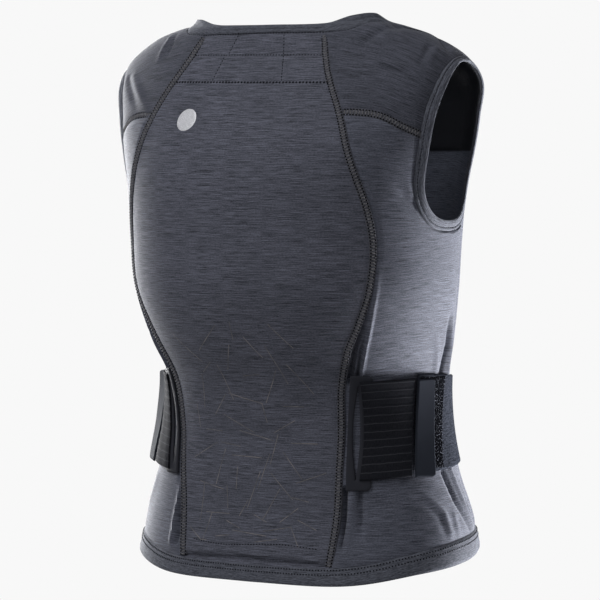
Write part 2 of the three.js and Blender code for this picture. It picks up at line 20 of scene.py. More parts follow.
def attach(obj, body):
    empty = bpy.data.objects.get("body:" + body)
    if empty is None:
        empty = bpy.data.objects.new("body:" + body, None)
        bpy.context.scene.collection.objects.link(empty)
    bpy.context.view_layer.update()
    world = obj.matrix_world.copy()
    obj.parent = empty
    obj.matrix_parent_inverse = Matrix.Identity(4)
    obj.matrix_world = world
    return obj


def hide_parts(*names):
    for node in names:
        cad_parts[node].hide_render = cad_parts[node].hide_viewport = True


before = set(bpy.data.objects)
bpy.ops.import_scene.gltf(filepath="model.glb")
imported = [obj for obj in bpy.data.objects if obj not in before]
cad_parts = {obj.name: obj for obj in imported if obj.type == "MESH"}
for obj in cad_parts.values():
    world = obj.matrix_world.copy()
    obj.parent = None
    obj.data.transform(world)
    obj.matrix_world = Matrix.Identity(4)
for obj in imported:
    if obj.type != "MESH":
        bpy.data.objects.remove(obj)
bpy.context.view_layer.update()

LOG = logging.getLogger("protector_vest")
MM = 0.001
BODY = "root"
CLOTH_UV = "cloth"
SHARP_ANGLE = 55
GOLDEN_SHARE = 0.618
OUTWARD = "outward"
Array = np.ndarray
Table = tuple[tuple[float, ...], ...]
Relief = Callable[[Array], Array]
Tree = bpy.types.NodeTree
Socket = bpy.types.NodeSocket
Piece = bpy.types.Object
T = TypeVar("T")


class Side(Enum):
    """Half of the vest that a piece belongs to; the value is the sign of its X."""

    RIGHT = 1
    LEFT = -1

    @property
    def suffix(self) -> str:
        """Word that ends the names of this half's pieces."""
        return self.name.lower()

    @property
    def mirror(self) -> Array:
        """Factors that bring points of the right half to this one."""
        return np.array([self.value, 1, 1])


@dataclass(frozen=True)
class BySide(Generic[T]):
    """A value for each half of the vest."""

    right: T
    left: T

    def on(self, side: Side) -> T:
        """The value for one half."""
        return self.right if side is Side.RIGHT else self.left


class Column(Enum):
    """Columns of the table of body sections."""

    WIDTH = 1
    BACK = 2
    FRONT = 3
    MID = 4
    BACK_POWER = 5
    FRONT_POWER = 6


def eased(share: Array) -> Array:
    """Smooth step from 0 to 1 over a share from 0 to 1."""
    t = np.clip(share, 0, 1)
    return t * t * (3 - 2 * t)


def mix(start: Array, end: Array, share: Array) -> Array:
    """Straight blend between two values."""
    return start + (end - start) * share


def signed_power(value: Array, power: Array) -> Array:
    """Power of the size of a value, with its sign kept."""
    return np.sign(value) * np.abs(value) ** power


def smooth_table(keys: Array, values: Array, at: Array) -> Array:
    """Smooth curve through the rows of a table.

    Args:
        keys: Rising positions of the rows.
        values: Value at each row, with any further axes after the first.
        at: Positions to read, one axis.

    Returns:
        The values at those positions.
    """
    keys = np.asarray(keys, float)
    values = np.asarray(values, float)
    last = len(keys) - 1
    rows = np.arange(len(keys))
    before = np.maximum(rows - 1, 0)
    after = np.minimum(rows + 1, last)
    tail = (1,) * (values.ndim - 1)
    slope = (values[after] - values[before]) / (keys[after] - keys[before]).reshape(-1, *tail)
    x = np.clip(at, keys[0], keys[-1])
    low = np.clip(np.searchsorted(keys, x, side="right") - 1, 0, last - 1)
    span = (keys[low + 1] - keys[low]).reshape(np.shape(x) + tail)
    t = (x - keys[low]).reshape(np.shape(x) + tail) / span
    step = (values[low + 1] - values[low]) * t**2 * (3 - 2 * t)
    bend = slope[low] * span * t * (1 - t) ** 2 - slope[low + 1] * span * t**2 * (1 - t)
    return values[low] + step + bend


def lookup(table: Table, at: Array, column: int = 1) -> Array:
    """Smooth value of one column of a table whose first column is its key."""
    rows = np.asarray(table, float)
    return smooth_table(rows[:, 0], rows[:, column], np.asarray(at, float))


def unit(vectors: Array) -> Array:
    """Vectors of length 1 along the last axis."""
    return vectors / np.maximum(np.linalg.norm(vectors, axis=-1, keepdims=True), 1e-9)


def paired(first: Array, second: Array) -> Array:
    """Two grids put together along a new last axis, as places or cloth coordinates."""
    return np.stack([first, second], axis=-1)


def run_length(points: Array, axis: int) -> Array:
    """Distance along the lines of a grid from their start, in the grid's shape."""
    steps = np.linalg.norm(np.diff(points, axis=axis), axis=-1)
    start = np.zeros_like(np.take(steps, [0], axis=axis))
    return np.cumsum(np.concatenate([start, steps], axis=axis), axis=axis)


def shares(columns: int, rows: int) -> tuple[Array, Array]:
    """Grids of shares along and up over so many steps."""
    return tuple(np.meshgrid(np.linspace(0, 1, columns + 1), np.linspace(0, 1, rows + 1)))


def arch(share: Array) -> Array:
    """Arch that rises from 0 to 1 at the middle of a share and falls to 0 again."""
    return 1 - (2 * share - 1) ** 2


def rim_distances(points: Array) -> tuple[Array, Array, Array, Array]:
    """Distance of each point of a grid from its left, right, bottom and top edge."""
    across = run_length(points, 1)
    along = run_length(points, 0)
    return across, across[:, -1:] - across, along, along[-1:] - along


@dataclass(frozen=True)
class BodyForm:
    """The body that the vest closes round, as rounded sections by height.

    A place on it is an angle round the body, 0 at the middle of the back, and a height.
    """

    sections: Table = (
        (-432, 156, 84, 112, 5, 2.3, 2.1),
        (-400, 149, 77, 112, 5, 2.3, 2.1),
        (-368, 141, 72, 108, 5, 2.3, 2.1),
        (-335, 130, 74, 98, 6, 2.3, 2.1),
        (-300, 121, 82, 86, 12, 2.3, 2.1),
        (-262, 119, 96, 76, 16, 2.3, 2.1),
        (-230, 127, 108, 76, 11.5, 2.3, 2.1),
        (-190, 136, 112, 82, 2, 2.3, 2.1),
        (-150, 140, 108, 89, -2, 2.3, 2.1),
        (-110, 144, 104, 94, -5, 2.3, 2.2),
        (-80, 149, 94, 93, -7, 2.4, 2.5),
        (-54, 154, 79, 85, -10, 2.4, 2.9),
        (-28, 160, 68, 70, -9, 2.3, 3),
        (-9, 153, 54, 59, -12, 2.2, 2.6),
        (8, 127, 43, 55, -15, 2.1, 2.1),
        (15.5, 103, 39, 54, -17, 2.1, 2),
        (19, 90, 37, 53, -17, 2.1, 2),
        (28, 83, 37, 53, -17, 2.1, 2),
    )

    def size(self, column: Column, z: Array) -> Array:
        """One size of the section at each height."""
        flat = np.ravel(np.asarray(z, float))
        return lookup(self.sections, flat, column.value).reshape(np.shape(z))

    def points(self, places: Array) -> Array:
        """Points of the form.

        Args:
            places: Angles and heights along the last axis.

        Returns:
            Points along the last axis, in millimetres.
        """
        angle, z = places[..., 0], places[..., 1]
        is_back = np.cos(angle) >= 0
        power = 2 / np.where(is_back, self.size(Column.BACK_POWER, z), self.size(Column.FRONT_POWER, z))
        depth = np.where(is_back, self.size(Column.BACK, z), self.size(Column.FRONT, z))
        x = self.size(Column.WIDTH, z) * signed_power(np.sin(angle), power)
        y = self.size(Column.MID, z) - depth * signed_power(np.cos(angle), power)
        return np.stack([x, y, z], axis=-1)

    def girth(self, places: Array) -> Array:
        """Direction along the girth, toward larger angles."""
        step = np.array([math.radians(1), 0])
        return unit(self.points(places + step) - self.points(places - step))

    def normals(self, places: Array) -> Array:
        """Outward normals of the form."""
        top = self.sections[-1][0]
        above = paired(places[..., 0], np.minimum(places[..., 1] + 1, top))
        below = places - np.array([0, 1])
        return unit(np.cross(self.girth(places), self.points(above) - self.points(below)))

    def raised(self, places: Array, heights: Array) -> Array:
        """Points above the form by heights along its normals."""
        return self.points(places) + self.normals(places) * np.asarray(heights)[..., None]

    def across(self, across: Array, z: Array, is_back: bool = True) -> Array:
        """Places on the back, or on the front, at signed distances from the middle plane."""
        across, z = np.broadcast_arrays(np.asarray(across, float), np.asarray(z, float))
        power = self.size(Column.BACK_POWER if is_back else Column.FRONT_POWER, z) / 2
        share = np.minimum(np.abs(across) / self.size(Column.WIDTH, z), 1)
        angle = np.arcsin(share**power)
        turned = angle if is_back else np.pi - angle
        return paired(np.where(across < 0, -turned, turned), z)

    def at_depth(self, depth: Array, z: Array) -> Array:
        """Places on the right side at depths along Y."""
        behind = self.size(Column.MID, z) - depth
        is_back = behind >= 0
        reach = np.where(is_back, self.size(Column.BACK, z), self.size(Column.FRONT, z))
        power = np.where(is_back, self.size(Column.BACK_POWER, z), self.size(Column.FRONT_POWER, z))
        angle = np.arccos(np.minimum(np.abs(behind) / reach, 1) ** (power / 2))
        return paired(np.where(is_back, angle, np.pi - angle), z)


@dataclass(frozen=True)
class Edges:
    """Four edges of a panel, as places: left and right run up, bottom and top run toward larger angles."""

    left: Array
    right: Array
    bottom: Array
    top: Array

    def grid(self) -> Array:
        """Grid of places spanned by the edges, so that neighbours share every edge exactly."""
        t = np.linspace(0, 1, len(self.left))[:, None, None]
        s = np.linspace(0, 1, len(self.bottom))[None, :, None]
        between = mix(self.left[:, None], self.right[:, None], s) + mix(self.bottom[None], self.top[None], t)
        lower = mix(self.left[0], self.right[0], s)
        upper = mix(self.left[-1], self.right[-1], s)
        return between - mix(lower, upper, t)


@dataclass(frozen=True)
class Pattern:
    """Cut lines of the vest on the right half of the body, shared by the panels that meet there.

    Attributes:
        form: The body under the cloth.
        density: How many times finer the lines are than those of the part's solids.
        back_seam: Distance of the back seam from the middle plane by height.
        hem: Height of the hem's free edge and of its seam by angle in degrees.
        neck: Height of the neck's free edge by angle in degrees.
        yoke_drop: Share of the yoke seam's drop by the share of its run.
        arm_inset: Width of the armhole binding at the back, the front, the top and the bottom.
        arm_turns: Turns at which the yoke seam, the front yoke seam and the side seam meet the armhole.
        seam_steps: Coarse steps of the back seam to the fan of pleats, to the yoke and to the neck.
        arm_steps: Those of the armhole up the back, over the shoulder and up the front.
        neck_steps: Those of the neck across the back, over the shoulder and along the front.
        hem_steps: Those of the hem across the back, along the side and along the front.
    """

    form: BodyForm
    density: int = 9
    back_seam: Table = (
        (-420, 69), (-360, 74), (-300, 76), (-265, 79), (-240, 88), (-215, 101), (-190, 111),
        (-158, 115), (-125, 112), (-90, 102), (-54, 89), (-15, 68), (8, 58),
    )
    hem: Table = (
        (0, -419, -406), (30, -418, -404), (60, -408.5, -392), (90, -402, -384), (120, -394, -379),
        (180, -392, -377),
    )
    neck: Table = (
        (0, 17), (34, 17.5), (58, 23.5), (84, 25.4), (98, 20), (112, 12), (132, 4), (150, -4),
        (166, -15), (180, -21),
    )
    yoke_drop: Table = ((0, 0), (0.4, 0.16), (0.75, 0.68), (1, 1))
    neck_width: float = 6.8
    yoke_height: float = -52
    fan_height: float = -205
    front_yoke_angle: float = 115
    side_seam_angle: float = 111
    zip_edge: float = 7.4
    arm_depth: float = -5
    arm_z: float = -94
    arm_back: float = 43.5
    arm_front: float = 43
    arm_up: float = 85
    arm_down: float = 50.5
    arm_power: float = 2.5
    arm_inset: tuple[float, float, float, float] = (7, 8, 4.5, 9)
    arm_turns: tuple[float, float, float] = (78, -36, 213)
    seam_steps: tuple[int, int, int] = (12, 12, 5)
    arm_steps: tuple[int, int, int] = (12, 13, 12)
    neck_steps: tuple[int, int, int] = (14, 8, 6)
    hem_steps: tuple[int, int, int] = (14, 10, 6)
    side_steps: int = 12
    yoke_steps: int = 7
    zip_steps: int = 18
    meeting_rounds: int = 8

    def run(self, steps: int) -> Array:
        """Shares from 0 to 1 over a stretch of so many coarse steps."""
        return np.linspace(0, 1, steps * self.density + 1)

    def seam_at(self, z: Array) -> Array:
        """Places of the back seam."""
        return self.form.across(lookup(self.back_seam, z), z)

    def hem_at(self, angle: Array, is_edge: bool = False) -> Array:
        """Places of the hem's seam, or of its free edge."""
        z = lookup(self.hem, np.abs(np.degrees(angle)), 1 if is_edge else 2)
        return paired(angle, z)

    def neck_at(self, angle: Array, drop: float) -> Array:
        """Places below the neck's free edge."""
        z = lookup(self.neck, np.abs(np.degrees(angle))) - drop
        return paired(angle, z)

    def arm_at(self, turn: Array, is_inset: bool = False) -> Array:
        """Places of the armhole's seam, or of its free edge, at turns in degrees from the top down the back."""
        back, front, up, down = self.arm_inset if is_inset else (0, 0, 0, 0)
        sine = np.sin(np.radians(turn))
        cosine = np.cos(np.radians(turn))
        across = np.where(sine >= 0, self.arm_back - back, self.arm_front - front)
        along = np.where(cosine >= 0, self.arm_up - up, self.arm_down - down)
        power = 2 / self.arm_power
        depth = self.arm_depth - across * signed_power(sine, power)
        return self.form.at_depth(depth, self.arm_z + along * signed_power(cosine, power))

    def zip_at(self, z: Array) -> Array:
        """Places of the edge beside the front closure."""
        return self.form.across(np.full(np.shape(z), self.zip_edge), z, False)

    def seam_end(self, start: float, height: Callable[[Array], Array]) -> float:
        """Height at which the back seam meets a curve of heights by angle."""
        z = np.array([start], float)
        for _ in range(self.meeting_rounds):
            z = height(self.seam_at(z)[:, 0])
        return float(z[0])

    @cached_property
    def seam_lower(self) -> Array:
        """Back seam from the hem to the yoke."""
        foot = self.seam_end(self.hem[0][2], lambda angle: self.hem_at(angle)[:, 1])
        lower = mix(foot, self.fan_height, self.run(self.seam_steps[0]))
        upper = mix(self.fan_height, self.yoke_height, self.run(self.seam_steps[1]))
        return self.seam_at(np.concatenate([lower, upper[1:]]))

    @cached_property
    def seam_upper(self) -> Array:
        """Back seam from the yoke to the neck."""
        head = self.seam_end(self.neck[0][1], lambda angle: self.neck_at(angle, self.neck_width)[:, 1])
        return self.seam_at(mix(self.yoke_height, head, self.run(self.seam_steps[2])))

    def arm_stretch(self, start: float, end: float, steps: int, is_inset: bool = False) -> Array:
        """Stretch of the armhole between two turns."""
        return self.arm_at(mix(start, end, self.run(steps)), is_inset)

    def arm_lower(self, is_inset: bool = False) -> Array:
        """Armhole from the side seam up the back to the yoke."""
        return self.arm_stretch(self.arm_turns[2], self.arm_turns[0], self.arm_steps[0], is_inset)

    def arm_upper(self, is_inset: bool = False) -> Array:
        """Armhole from the yoke seam over the shoulder."""
        return self.arm_stretch(self.arm_turns[0], self.arm_turns[1], self.arm_steps[1], is_inset)

    def arm_chest(self, is_inset: bool = False) -> Array:
        """Armhole from the side seam up the front."""
        return self.arm_stretch(self.arm_turns[2] - 360, self.arm_turns[1], self.arm_steps[2], is_inset)

    @cached_property
    def side_seam(self) -> Array:
        """Seam between the side and the front, from the hem to the armhole."""
        foot = self.hem_at(np.array(math.radians(self.side_seam_angle)))
        return mix(foot, self.arm_lower()[0], self.run(self.side_steps)[:, None])

    def yoke_seam(self, steps: int) -> Array:
        """Yoke seam on the back, from the back seam to the armhole."""
        t = self.run(steps)
        start, end = self.seam_upper[0], self.arm_upper()[0]
        return paired(mix(start[0], end[0], t), mix(start[1], end[1], lookup(self.yoke_drop, t)))

    @cached_property
    def neck_angles(self) -> tuple[Array, Array, Array]:
        """Angles of the neck: across the back, over the shoulder, and from the closure to the shoulder."""
        start = self.seam_upper[-1, 0]
        end = math.radians(self.front_yoke_angle)
        front = self.zip_at(np.array([self.neck[-1][1] - self.neck_width]))[0, 0]
        across, over, along = (self.run(steps) for steps in self.neck_steps)
        return mix(-start, start, across), mix(start, end, over), mix(front, end, along)

    @cached_property
    def hem_angles(self) -> tuple[Array, Array, Array]:
        """Angles of the hem: across the back, along the side, and along the front."""
        start = self.seam_lower[0, 0]
        side = self.side_seam[0, 0]
        front = self.zip_at(np.array([self.hem[-1][2]]))[0, 0]
        across, beside, along = (self.run(steps) for steps in self.hem_steps)
        return mix(-start, start, across), mix(start, side, beside), mix(side, front, along)

    def neck_seam(self, angles: Array) -> Array:
        """Places of the seam under the neck binding."""
        return self.neck_at(angles, self.neck_width)

    def back_edges(self) -> Edges:
        """Edges of the back panel, between the two back seams."""
        right = np.concatenate([self.seam_lower, self.seam_upper[1:]])
        left = right * np.array([-1, 1])
        return Edges(left, right, self.hem_at(self.hem_angles[0]), self.neck_seam(self.neck_angles[0]))

    def side_edges(self) -> Edges:
        """Edges of the right side panel."""
        right = np.concatenate([self.side_seam, self.arm_lower()[1:]])
        return Edges(self.seam_lower, right, self.hem_at(self.hem_angles[1]), self.yoke_seam(self.hem_steps[1]))

    def yoke_edges(self) -> Edges:
        """Edges of the right yoke, over the shoulder."""
        neck_side = self.neck_seam(self.neck_angles[1])
        left = np.concatenate([self.seam_upper, neck_side[1:]])
        arm = self.arm_upper()
        top = mix(neck_side[-1], arm[-1], self.run(self.yoke_steps)[:, None])
        return Edges(left, arm, self.yoke_seam(self.yoke_steps), top)

    def front_edges(self) -> Edges:
        """Edges of the right front panel."""
        arm = self.arm_chest()
        left = np.concatenate([self.side_seam, arm[1:]])
        neck = self.neck_seam(self.neck_angles[2])
        foot = self.hem_at(self.hem_angles[2][-1:])[0, 1]
        centre = self.zip_at(mix(foot, neck[0, 1], self.run(self.zip_steps)))
        top = mix(arm[-1], neck[-1], self.run(self.hem_steps[2])[:, None])
        right = np.concatenate([centre, neck[1:]])
        return Edges(left, right, self.hem_at(self.hem_angles[2]), top)


def linear(code: str) -> tuple[float, float, float, float]:
    """Linear colour of an sRGB hex code."""
    parts = [int(code[i : i + 2], 16) / 255 for i in (1, 3, 5)]
    red, green, blue = (p / 12.92 if p <= 0.04045 else ((p + 0.055) / 1.055) ** 2.4 for p in parts)
    return red, green, blue, 1.0


def add_node(
    tree: Tree, kind: str, inputs: Mapping[str | int, object] | None = None, **settings: object
) -> bpy.types.Node:
    """Adds a node with its settings, values and links.

    Args:
        tree: Tree that gets the node.
        kind: The node's type name.
        inputs: Value, or socket to link from, for each input by name or number.
        **settings: Properties of the node.

    Returns:
        The new node.
    """
    node = tree.nodes.new(kind)
    for key, value in settings.items():
        setattr(node, key, value)
    for key, value in (inputs or {}).items():
        if isinstance(value, Socket):
            tree.links.new(value, node.inputs[key])
        else:
            node.inputs[key].default_value = value
    return node


def cleared(owner: bpy.types.Material | bpy.types.World) -> Tree:
    """Empty shader tree of a material or a world."""
    owner.use_nodes = True
    owner.node_tree.nodes.clear()
    return owner.node_tree


def cloth_place(tree: Tree) -> Socket:
    """Coordinates along the cloth, in metres."""
    return add_node(tree, "ShaderNodeUVMap", uv_map=CLOTH_UV).outputs[0]


def object_place(tree: Tree) -> Socket:
    """Coordinates in the shared frame, in metres."""
    return add_node(tree, "ShaderNodeTexCoord").outputs["Object"]


def scaled(tree: Tree, place: Socket, sizes: Sequence[float]) -> Socket:
    """Coordinates divided by real sizes in millimetres, so that one unit is one such size."""
    factors = [1 / (size * MM) for size in sizes] + [0] * (3 - len(sizes))
    return add_node(tree, "ShaderNodeVectorMath", {0: place, 1: factors}, operation="MULTIPLY").outputs[0]


def noise(tree: Tree, place: Socket, sizes: Sequence[float], detail: float = 2) -> Socket:
    """Noise about 0.5 whose spots have real sizes in millimetres."""
    inputs = {"Vector": scaled(tree, place, sizes), "Scale": 1.0, "Detail": detail, "Roughness": 0.6}
    return add_node(tree, "ShaderNodeTexNoise", inputs).outputs[0]


def blended(tree: Tree, share: Socket, first: object, second: object) -> Socket:
    """Mix of two colours by a share."""
    inputs = {0: share, 6: first, 7: second}
    return add_node(tree, "ShaderNodeMix", inputs, data_type="RGBA").outputs[2]


def stretched(tree: Tree, value: Socket, low: float = 0.3, high: float = 0.7) -> Socket:
    """Value spread to 0 and 1 from a range, by default that of a noise."""
    inputs = {"Value": value, "From Min": low, "From Max": high}
    return add_node(tree, "ShaderNodeMapRange", inputs).outputs[0]


def combined(tree: Tree, operation: str, first: Socket, second: object) -> Socket:
    """Two values put together by one operation."""
    return add_node(tree, "ShaderNodeMath", {0: first, 1: second}, operation=operation).outputs[0]


def weighted(tree: Tree, values: Sequence[Socket], weights: Sequence[float]) -> Socket:
    """Sum of values by their weights."""
    parts = [combined(tree, "MULTIPLY", value, weight) for value, weight in zip(values, weights)]
    return reduce(lambda total, part: combined(tree, "ADD", total, part), parts)


def bumped(tree: Tree, height: Socket, depth: float, strength: float) -> Socket:
    """Normals of a relief whose full height is a depth in millimetres."""
    inputs = {"Height": height, "Distance": depth * MM, "Strength": strength}
    return add_node(tree, "ShaderNodeBump", inputs).outputs[0]


@dataclass(frozen=True)
class Finish:
    """A surface finish, made into one material.

    Attributes:
        name: The material's name.
        color: Main colour, sRGB.
        roughness: Roughness of its gloss.
    """

    name: str
    color: str
    roughness: float = 0.8

    def decorate(self, tree: Tree, values: dict[str, object]) -> None:
        """Adds the pattern's nodes and puts their sockets among the shader's inputs."""

    def inputs(self) -> dict[str, object]:
        """Constant shader inputs of this kind of finish."""
        return {}

    def material(self) -> bpy.types.Material:
        """The finish's material, made once."""
        found = bpy.data.materials.get(self.name)
        if found is None:
            found = bpy.data.materials.new(self.name)
            tree = cleared(found)
            values = {"Roughness": self.roughness, "Base Color": linear(self.color), **self.inputs()}
            self.decorate(tree, values)
            surface = add_node(tree, "ShaderNodeBsdfPrincipled", values)
            add_node(tree, "ShaderNodeOutputMaterial", {"Surface": surface.outputs["BSDF"]})
        return found


@dataclass(frozen=True)
class HeatherJersey(Finish):
    """Polyester jersey knitted from yarns of two greys, so that short light and dark streaks run along its courses.

    Sizes are in millimetres, along the courses and up.

    Attributes:
        light: Colour of the light yarns, sRGB.
        dark: Colour of the dark yarns, sRGB.
        streak: Size of the fine streaks, drawn about twice as coarse as the yarn, so that they show.
        sheen: Strength of the brushed fibre ends' sheen.
        gloss: Strength of the gloss.
        broader: How many times larger the broad streaks are.
        course: Size of the stitches.
        patch: Size of areas that are a little plainer.
        weights: Shares of fine streaks, broad streaks and stitches in the tone.
        spread: Range of their sum that runs from dark to light.
        plain: Share of the main colour in the plainest areas.
        relief: Height and strength of the knit's relief.
    """

    light: str = "#6b6e79"
    dark: str = "#33353c"
    streak: tuple[float, float] = (12, 0.28)
    sheen: float = 0.08
    gloss: float = 0.2
    broader: tuple[float, float] = (3, 1.8)
    course: tuple[float, float] = (1.6, 0.8)
    patch: tuple[float, float] = (70, 45)
    weights: tuple[float, float, float] = (0.47, 0.33, 0.2)
    spread: tuple[float, float] = (0.4, 0.6)
    plain: float = 0.22
    relief: tuple[float, float] = (0.22, 0.35)

    def inputs(self) -> dict[str, object]:
        """Brushed fibre ends catch light at a flat angle, and the gloss under them is weak."""
        return {
            "Sheen Weight": self.sheen,
            "Sheen Roughness": 0.45,
            "Sheen Tint": linear("#e0e2e8"),
            "Specular IOR Level": self.gloss,
        }

    def decorate(self, tree: Tree, values: dict[str, object]) -> None:
        """Streaks of three sizes, weaker in patches."""
        cloth = cloth_place(tree)
        broad = (self.streak[0] * self.broader[0], self.streak[1] * self.broader[1])
        tones = [noise(tree, cloth, size, 1) for size in (self.streak, broad, self.course)]
        share = stretched(tree, weighted(tree, tones, self.weights), *self.spread)
        yarns = blended(tree, share, linear(self.dark), linear(self.light))
        plain = combined(tree, "MULTIPLY", stretched(tree, noise(tree, cloth, self.patch)), self.plain)
        values["Base Color"] = blended(tree, plain, yarns, linear(self.color))
        values["Normal"] = bumped(tree, combined(tree, "ADD", share, tones[-1]), *self.relief)


@dataclass(frozen=True)
class Lining(Finish):
    """Dark warp-knit mesh against the body, with small staggered holes on a net of a size in millimetres."""

    hole: str = "#08080a"
    net: float = 2.4

    def decorate(self, tree: Tree, values: dict[str, object]) -> None:
        """Holes on a slightly uneven net."""
        place = scaled(tree, cloth_place(tree), (self.net, self.net))
        cells = {"Vector": place, "Scale": 1.0, "Randomness": 0.15}
        far = add_node(tree, "ShaderNodeTexVoronoi", cells, voronoi_dimensions="2D").outputs["Distance"]
        share = stretched(tree, far, 0.18, 0.42)
        values["Base Color"] = blended(tree, share, linear(self.hole), linear(self.color))
        values["Normal"] = bumped(tree, share, 0.3, 0.4)


@dataclass(frozen=True)
class ChestLining(HeatherJersey):
    """Reverse of the jersey, drawn dark above a foot line, where the chest pocket's step stands out on the inside.

    Attributes:
        pocket: Colour above the foot line, sRGB.
        foot: Height of its foot in millimetres.
        edge: Half the height over which the one colour changes to the other.
    """

    pocket: str = "#14161c"
    foot: float = -82
    edge: float = 0.75

    def decorate(self, tree: Tree, values: dict[str, object]) -> None:
        """The jersey's streaks, changed to the dark colour above the foot line."""
        super().decorate(tree, values)
        height = add_node(tree, "ShaderNodeSeparateXYZ", {0: object_place(tree)}).outputs[2]
        share = stretched(tree, height, (self.foot - self.edge) * MM, (self.foot + self.edge) * MM)
        values["Base Color"] = blended(tree, share, values["Base Color"], linear(self.pocket))


@dataclass(frozen=True)
class RibbedElastic(Finish):
    """Woven elastic: black yarns, with a slightly lighter rubber line between its ribs.

    Sizes are in millimetres; the weave is drawn coarse enough to show, and the lines wobble by a size and a share.
    """

    line: str = "#37383d"
    shade: str = "#1b1c21"
    pitch: float = 6.4
    dash: float = 4
    weave: tuple[float, float] = (0.9, 2.2)
    wobble: tuple[float, float] = (7, 0.22)

    def inputs(self) -> dict[str, object]:
        """Matte yarn with hardly any gloss."""
        return {"Specular IOR Level": 0.02}

    def decorate(self, tree: Tree, values: dict[str, object]) -> None:
        """A thin broken line at every pitch over a fine weave."""
        cloth = cloth_place(tree)
        level = scaled(tree, cloth, (self.pitch, self.pitch))
        rows = add_node(tree, "ShaderNodeSeparateXYZ", {0: level}).outputs[1]
        size, share = self.wobble
        wavy = combined(tree, "ADD", rows, combined(tree, "MULTIPLY", noise(tree, cloth, (size, size)), share))
        line = stretched(tree, combined(tree, "PINGPONG", wavy, 0.5), 0.07, 0.02)
        broken = stretched(tree, noise(tree, cloth, (self.dash, self.pitch)), 0.15, 0.42)
        drawn = combined(tree, "MULTIPLY", line, broken)
        weave = noise(tree, cloth, self.weave, 1)
        ground = blended(tree, stretched(tree, weave), linear(self.shade), linear(self.color))
        values["Base Color"] = blended(tree, drawn, ground, linear(self.line))
        values["Normal"] = bumped(tree, combined(tree, "ADD", weave, drawn), 0.2, 0.5)


@dataclass(frozen=True)
class Grained(Finish):
    """Moulded rubber, laminate or plastic with a fine spark-eroded grain.

    Attributes:
        grain: Size of the grain in millimetres.
        depth: Its height in millimetres.
        gloss: Strength of the gloss.
        shade: Colour of faint clouds where hands have polished it, sRGB.
        cloud: Size of the clouds in millimetres.
        polish: Share of the shade in them.
    """

    grain: float = 0.9
    depth: float = 0.06
    gloss: float = 0.35
    shade: str = "#1c1e24"
    cloud: float = 18
    polish: float = 0.35

    def inputs(self) -> dict[str, object]:
        """Plain dielectric gloss."""
        return {"Specular IOR Level": self.gloss}

    def decorate(self, tree: Tree, values: dict[str, object]) -> None:
        """Even grain, and the faint clouds."""
        place = object_place(tree)
        grain = noise(tree, place, (self.grain,) * 3, 1)
        cloud = stretched(tree, noise(tree, place, (self.cloud,) * 3))
        share = combined(tree, "MULTIPLY", cloud, self.polish)
        values["Base Color"] = blended(tree, share, linear(self.color), linear(self.shade))
        values["Normal"] = bumped(tree, grain, self.depth, 0.5)


@dataclass(frozen=True)
class Thread(Finish):
    """Spun polyester sewing thread or brushed pile, whose tone changes over a grain in millimetres."""

    second: str = "#3a3a40"
    grain: float = 1.6
    gloss: float = 0.2

    def inputs(self) -> dict[str, object]:
        """Soft fibre gloss."""
        return {"Specular IOR Level": self.gloss, "Sheen Weight": self.gloss / 2, "Sheen Roughness": 0.4}

    def decorate(self, tree: Tree, values: dict[str, object]) -> None:
        """Two tones that change from loop to loop."""
        share = stretched(tree, noise(tree, object_place(tree), (self.grain,) * 3), 0.38, 0.62)
        values["Base Color"] = blended(tree, share, linear(self.second), linear(self.color))


@dataclass(frozen=True)
class ReflectiveFilm(Finish):
    """Silver transfer film with glass beads, in millimetres, drawn coarser than real ones so that they show."""

    shade: str = "#a9aab0"
    bead: float = 0.7

    def inputs(self) -> dict[str, object]:
        """Part metal, part clear binder."""
        return {"Metallic": 0.35, "Specular IOR Level": 0.5}

    def decorate(self, tree: Tree, values: dict[str, object]) -> None:
        """The grain of the beads."""
        grain = noise(tree, object_place(tree), (self.bead,) * 3, 1)
        values["Base Color"] = blended(tree, stretched(tree, grain), linear(self.shade), linear(self.color))
        values["Normal"] = bumped(tree, grain, 0.05, 0.4)


BACK_KNIT = HeatherJersey("heather_jersey_back", "#3d4049", 0.86, light="#696b79", dark="#282a31")
# Same jersey as the back, drawn darker: the extra darkness is painted shade of the shoulder tops, which no lamp lights
# from above.
YOKE_KNIT_SHADED = HeatherJersey("heather_jersey_yoke_shaded", "#353740", 0.86, light="#5b5d6a", dark="#22252b")
SIDE_KNIT = HeatherJersey("heather_jersey_side", "#3b3e48", 0.82, light="#676a78", dark="#2a2c35", sheen=0.16)
EDGE_KNIT = HeatherJersey("jersey_binding", "#3f424c", 0.86, light="#636671", dark="#30323a", streak=(4, 0.4))
TAB_KNIT = HeatherJersey(
    "brushed_tab_knit", "#292b32", 0.95, light="#3b3e47", dark="#1c1e23", streak=(3, 0.8), sheen=0, gloss=0
)
JERSEY_REVERSE = HeatherJersey("jersey_reverse", "#41444f", 0.92, light="#5f6370", dark="#2f323b", sheen=0.02)
CHEST_LINING = ChestLining("chest_lining", "#41444f", 0.92, light="#5f6370", dark="#2f323b", sheen=0.02)
MESH_LINING = Lining("mesh_lining", "#2e303a", 0.9)
ELASTIC = RibbedElastic("ribbed_elastic", "#232429", 0.85)
LAMINATE = Grained("black_laminate", "#303137", 0.6, grain=0.6, depth=0.03, gloss=0.04, shade="#282930")
RUBBER = Grained("moulded_rubber", "#272a32", 0.8, gloss=0.03, shade="#23262d")
PILE = Thread("brushed_loop_pile", "#4b4e57", 0.95, second="#202227", grain=2.4, gloss=0.05)
PILE_GROUND = Thread("pile_ground", "#121317", 1, second="#0c0d10", gloss=0)
SEAM_THREAD = Thread("seam_thread", "#6b6a6d", 0.8, second="#535256")
SEAM_TAPE = HeatherJersey("seam_tape", "#414248", 0.88, light="#5a5b63", dark="#35363d", streak=(2.4, 0.8))
PLAIN_THREAD = Thread("plain_thread", "#25262b", 0.9, second="#18181c", gloss=0.02)
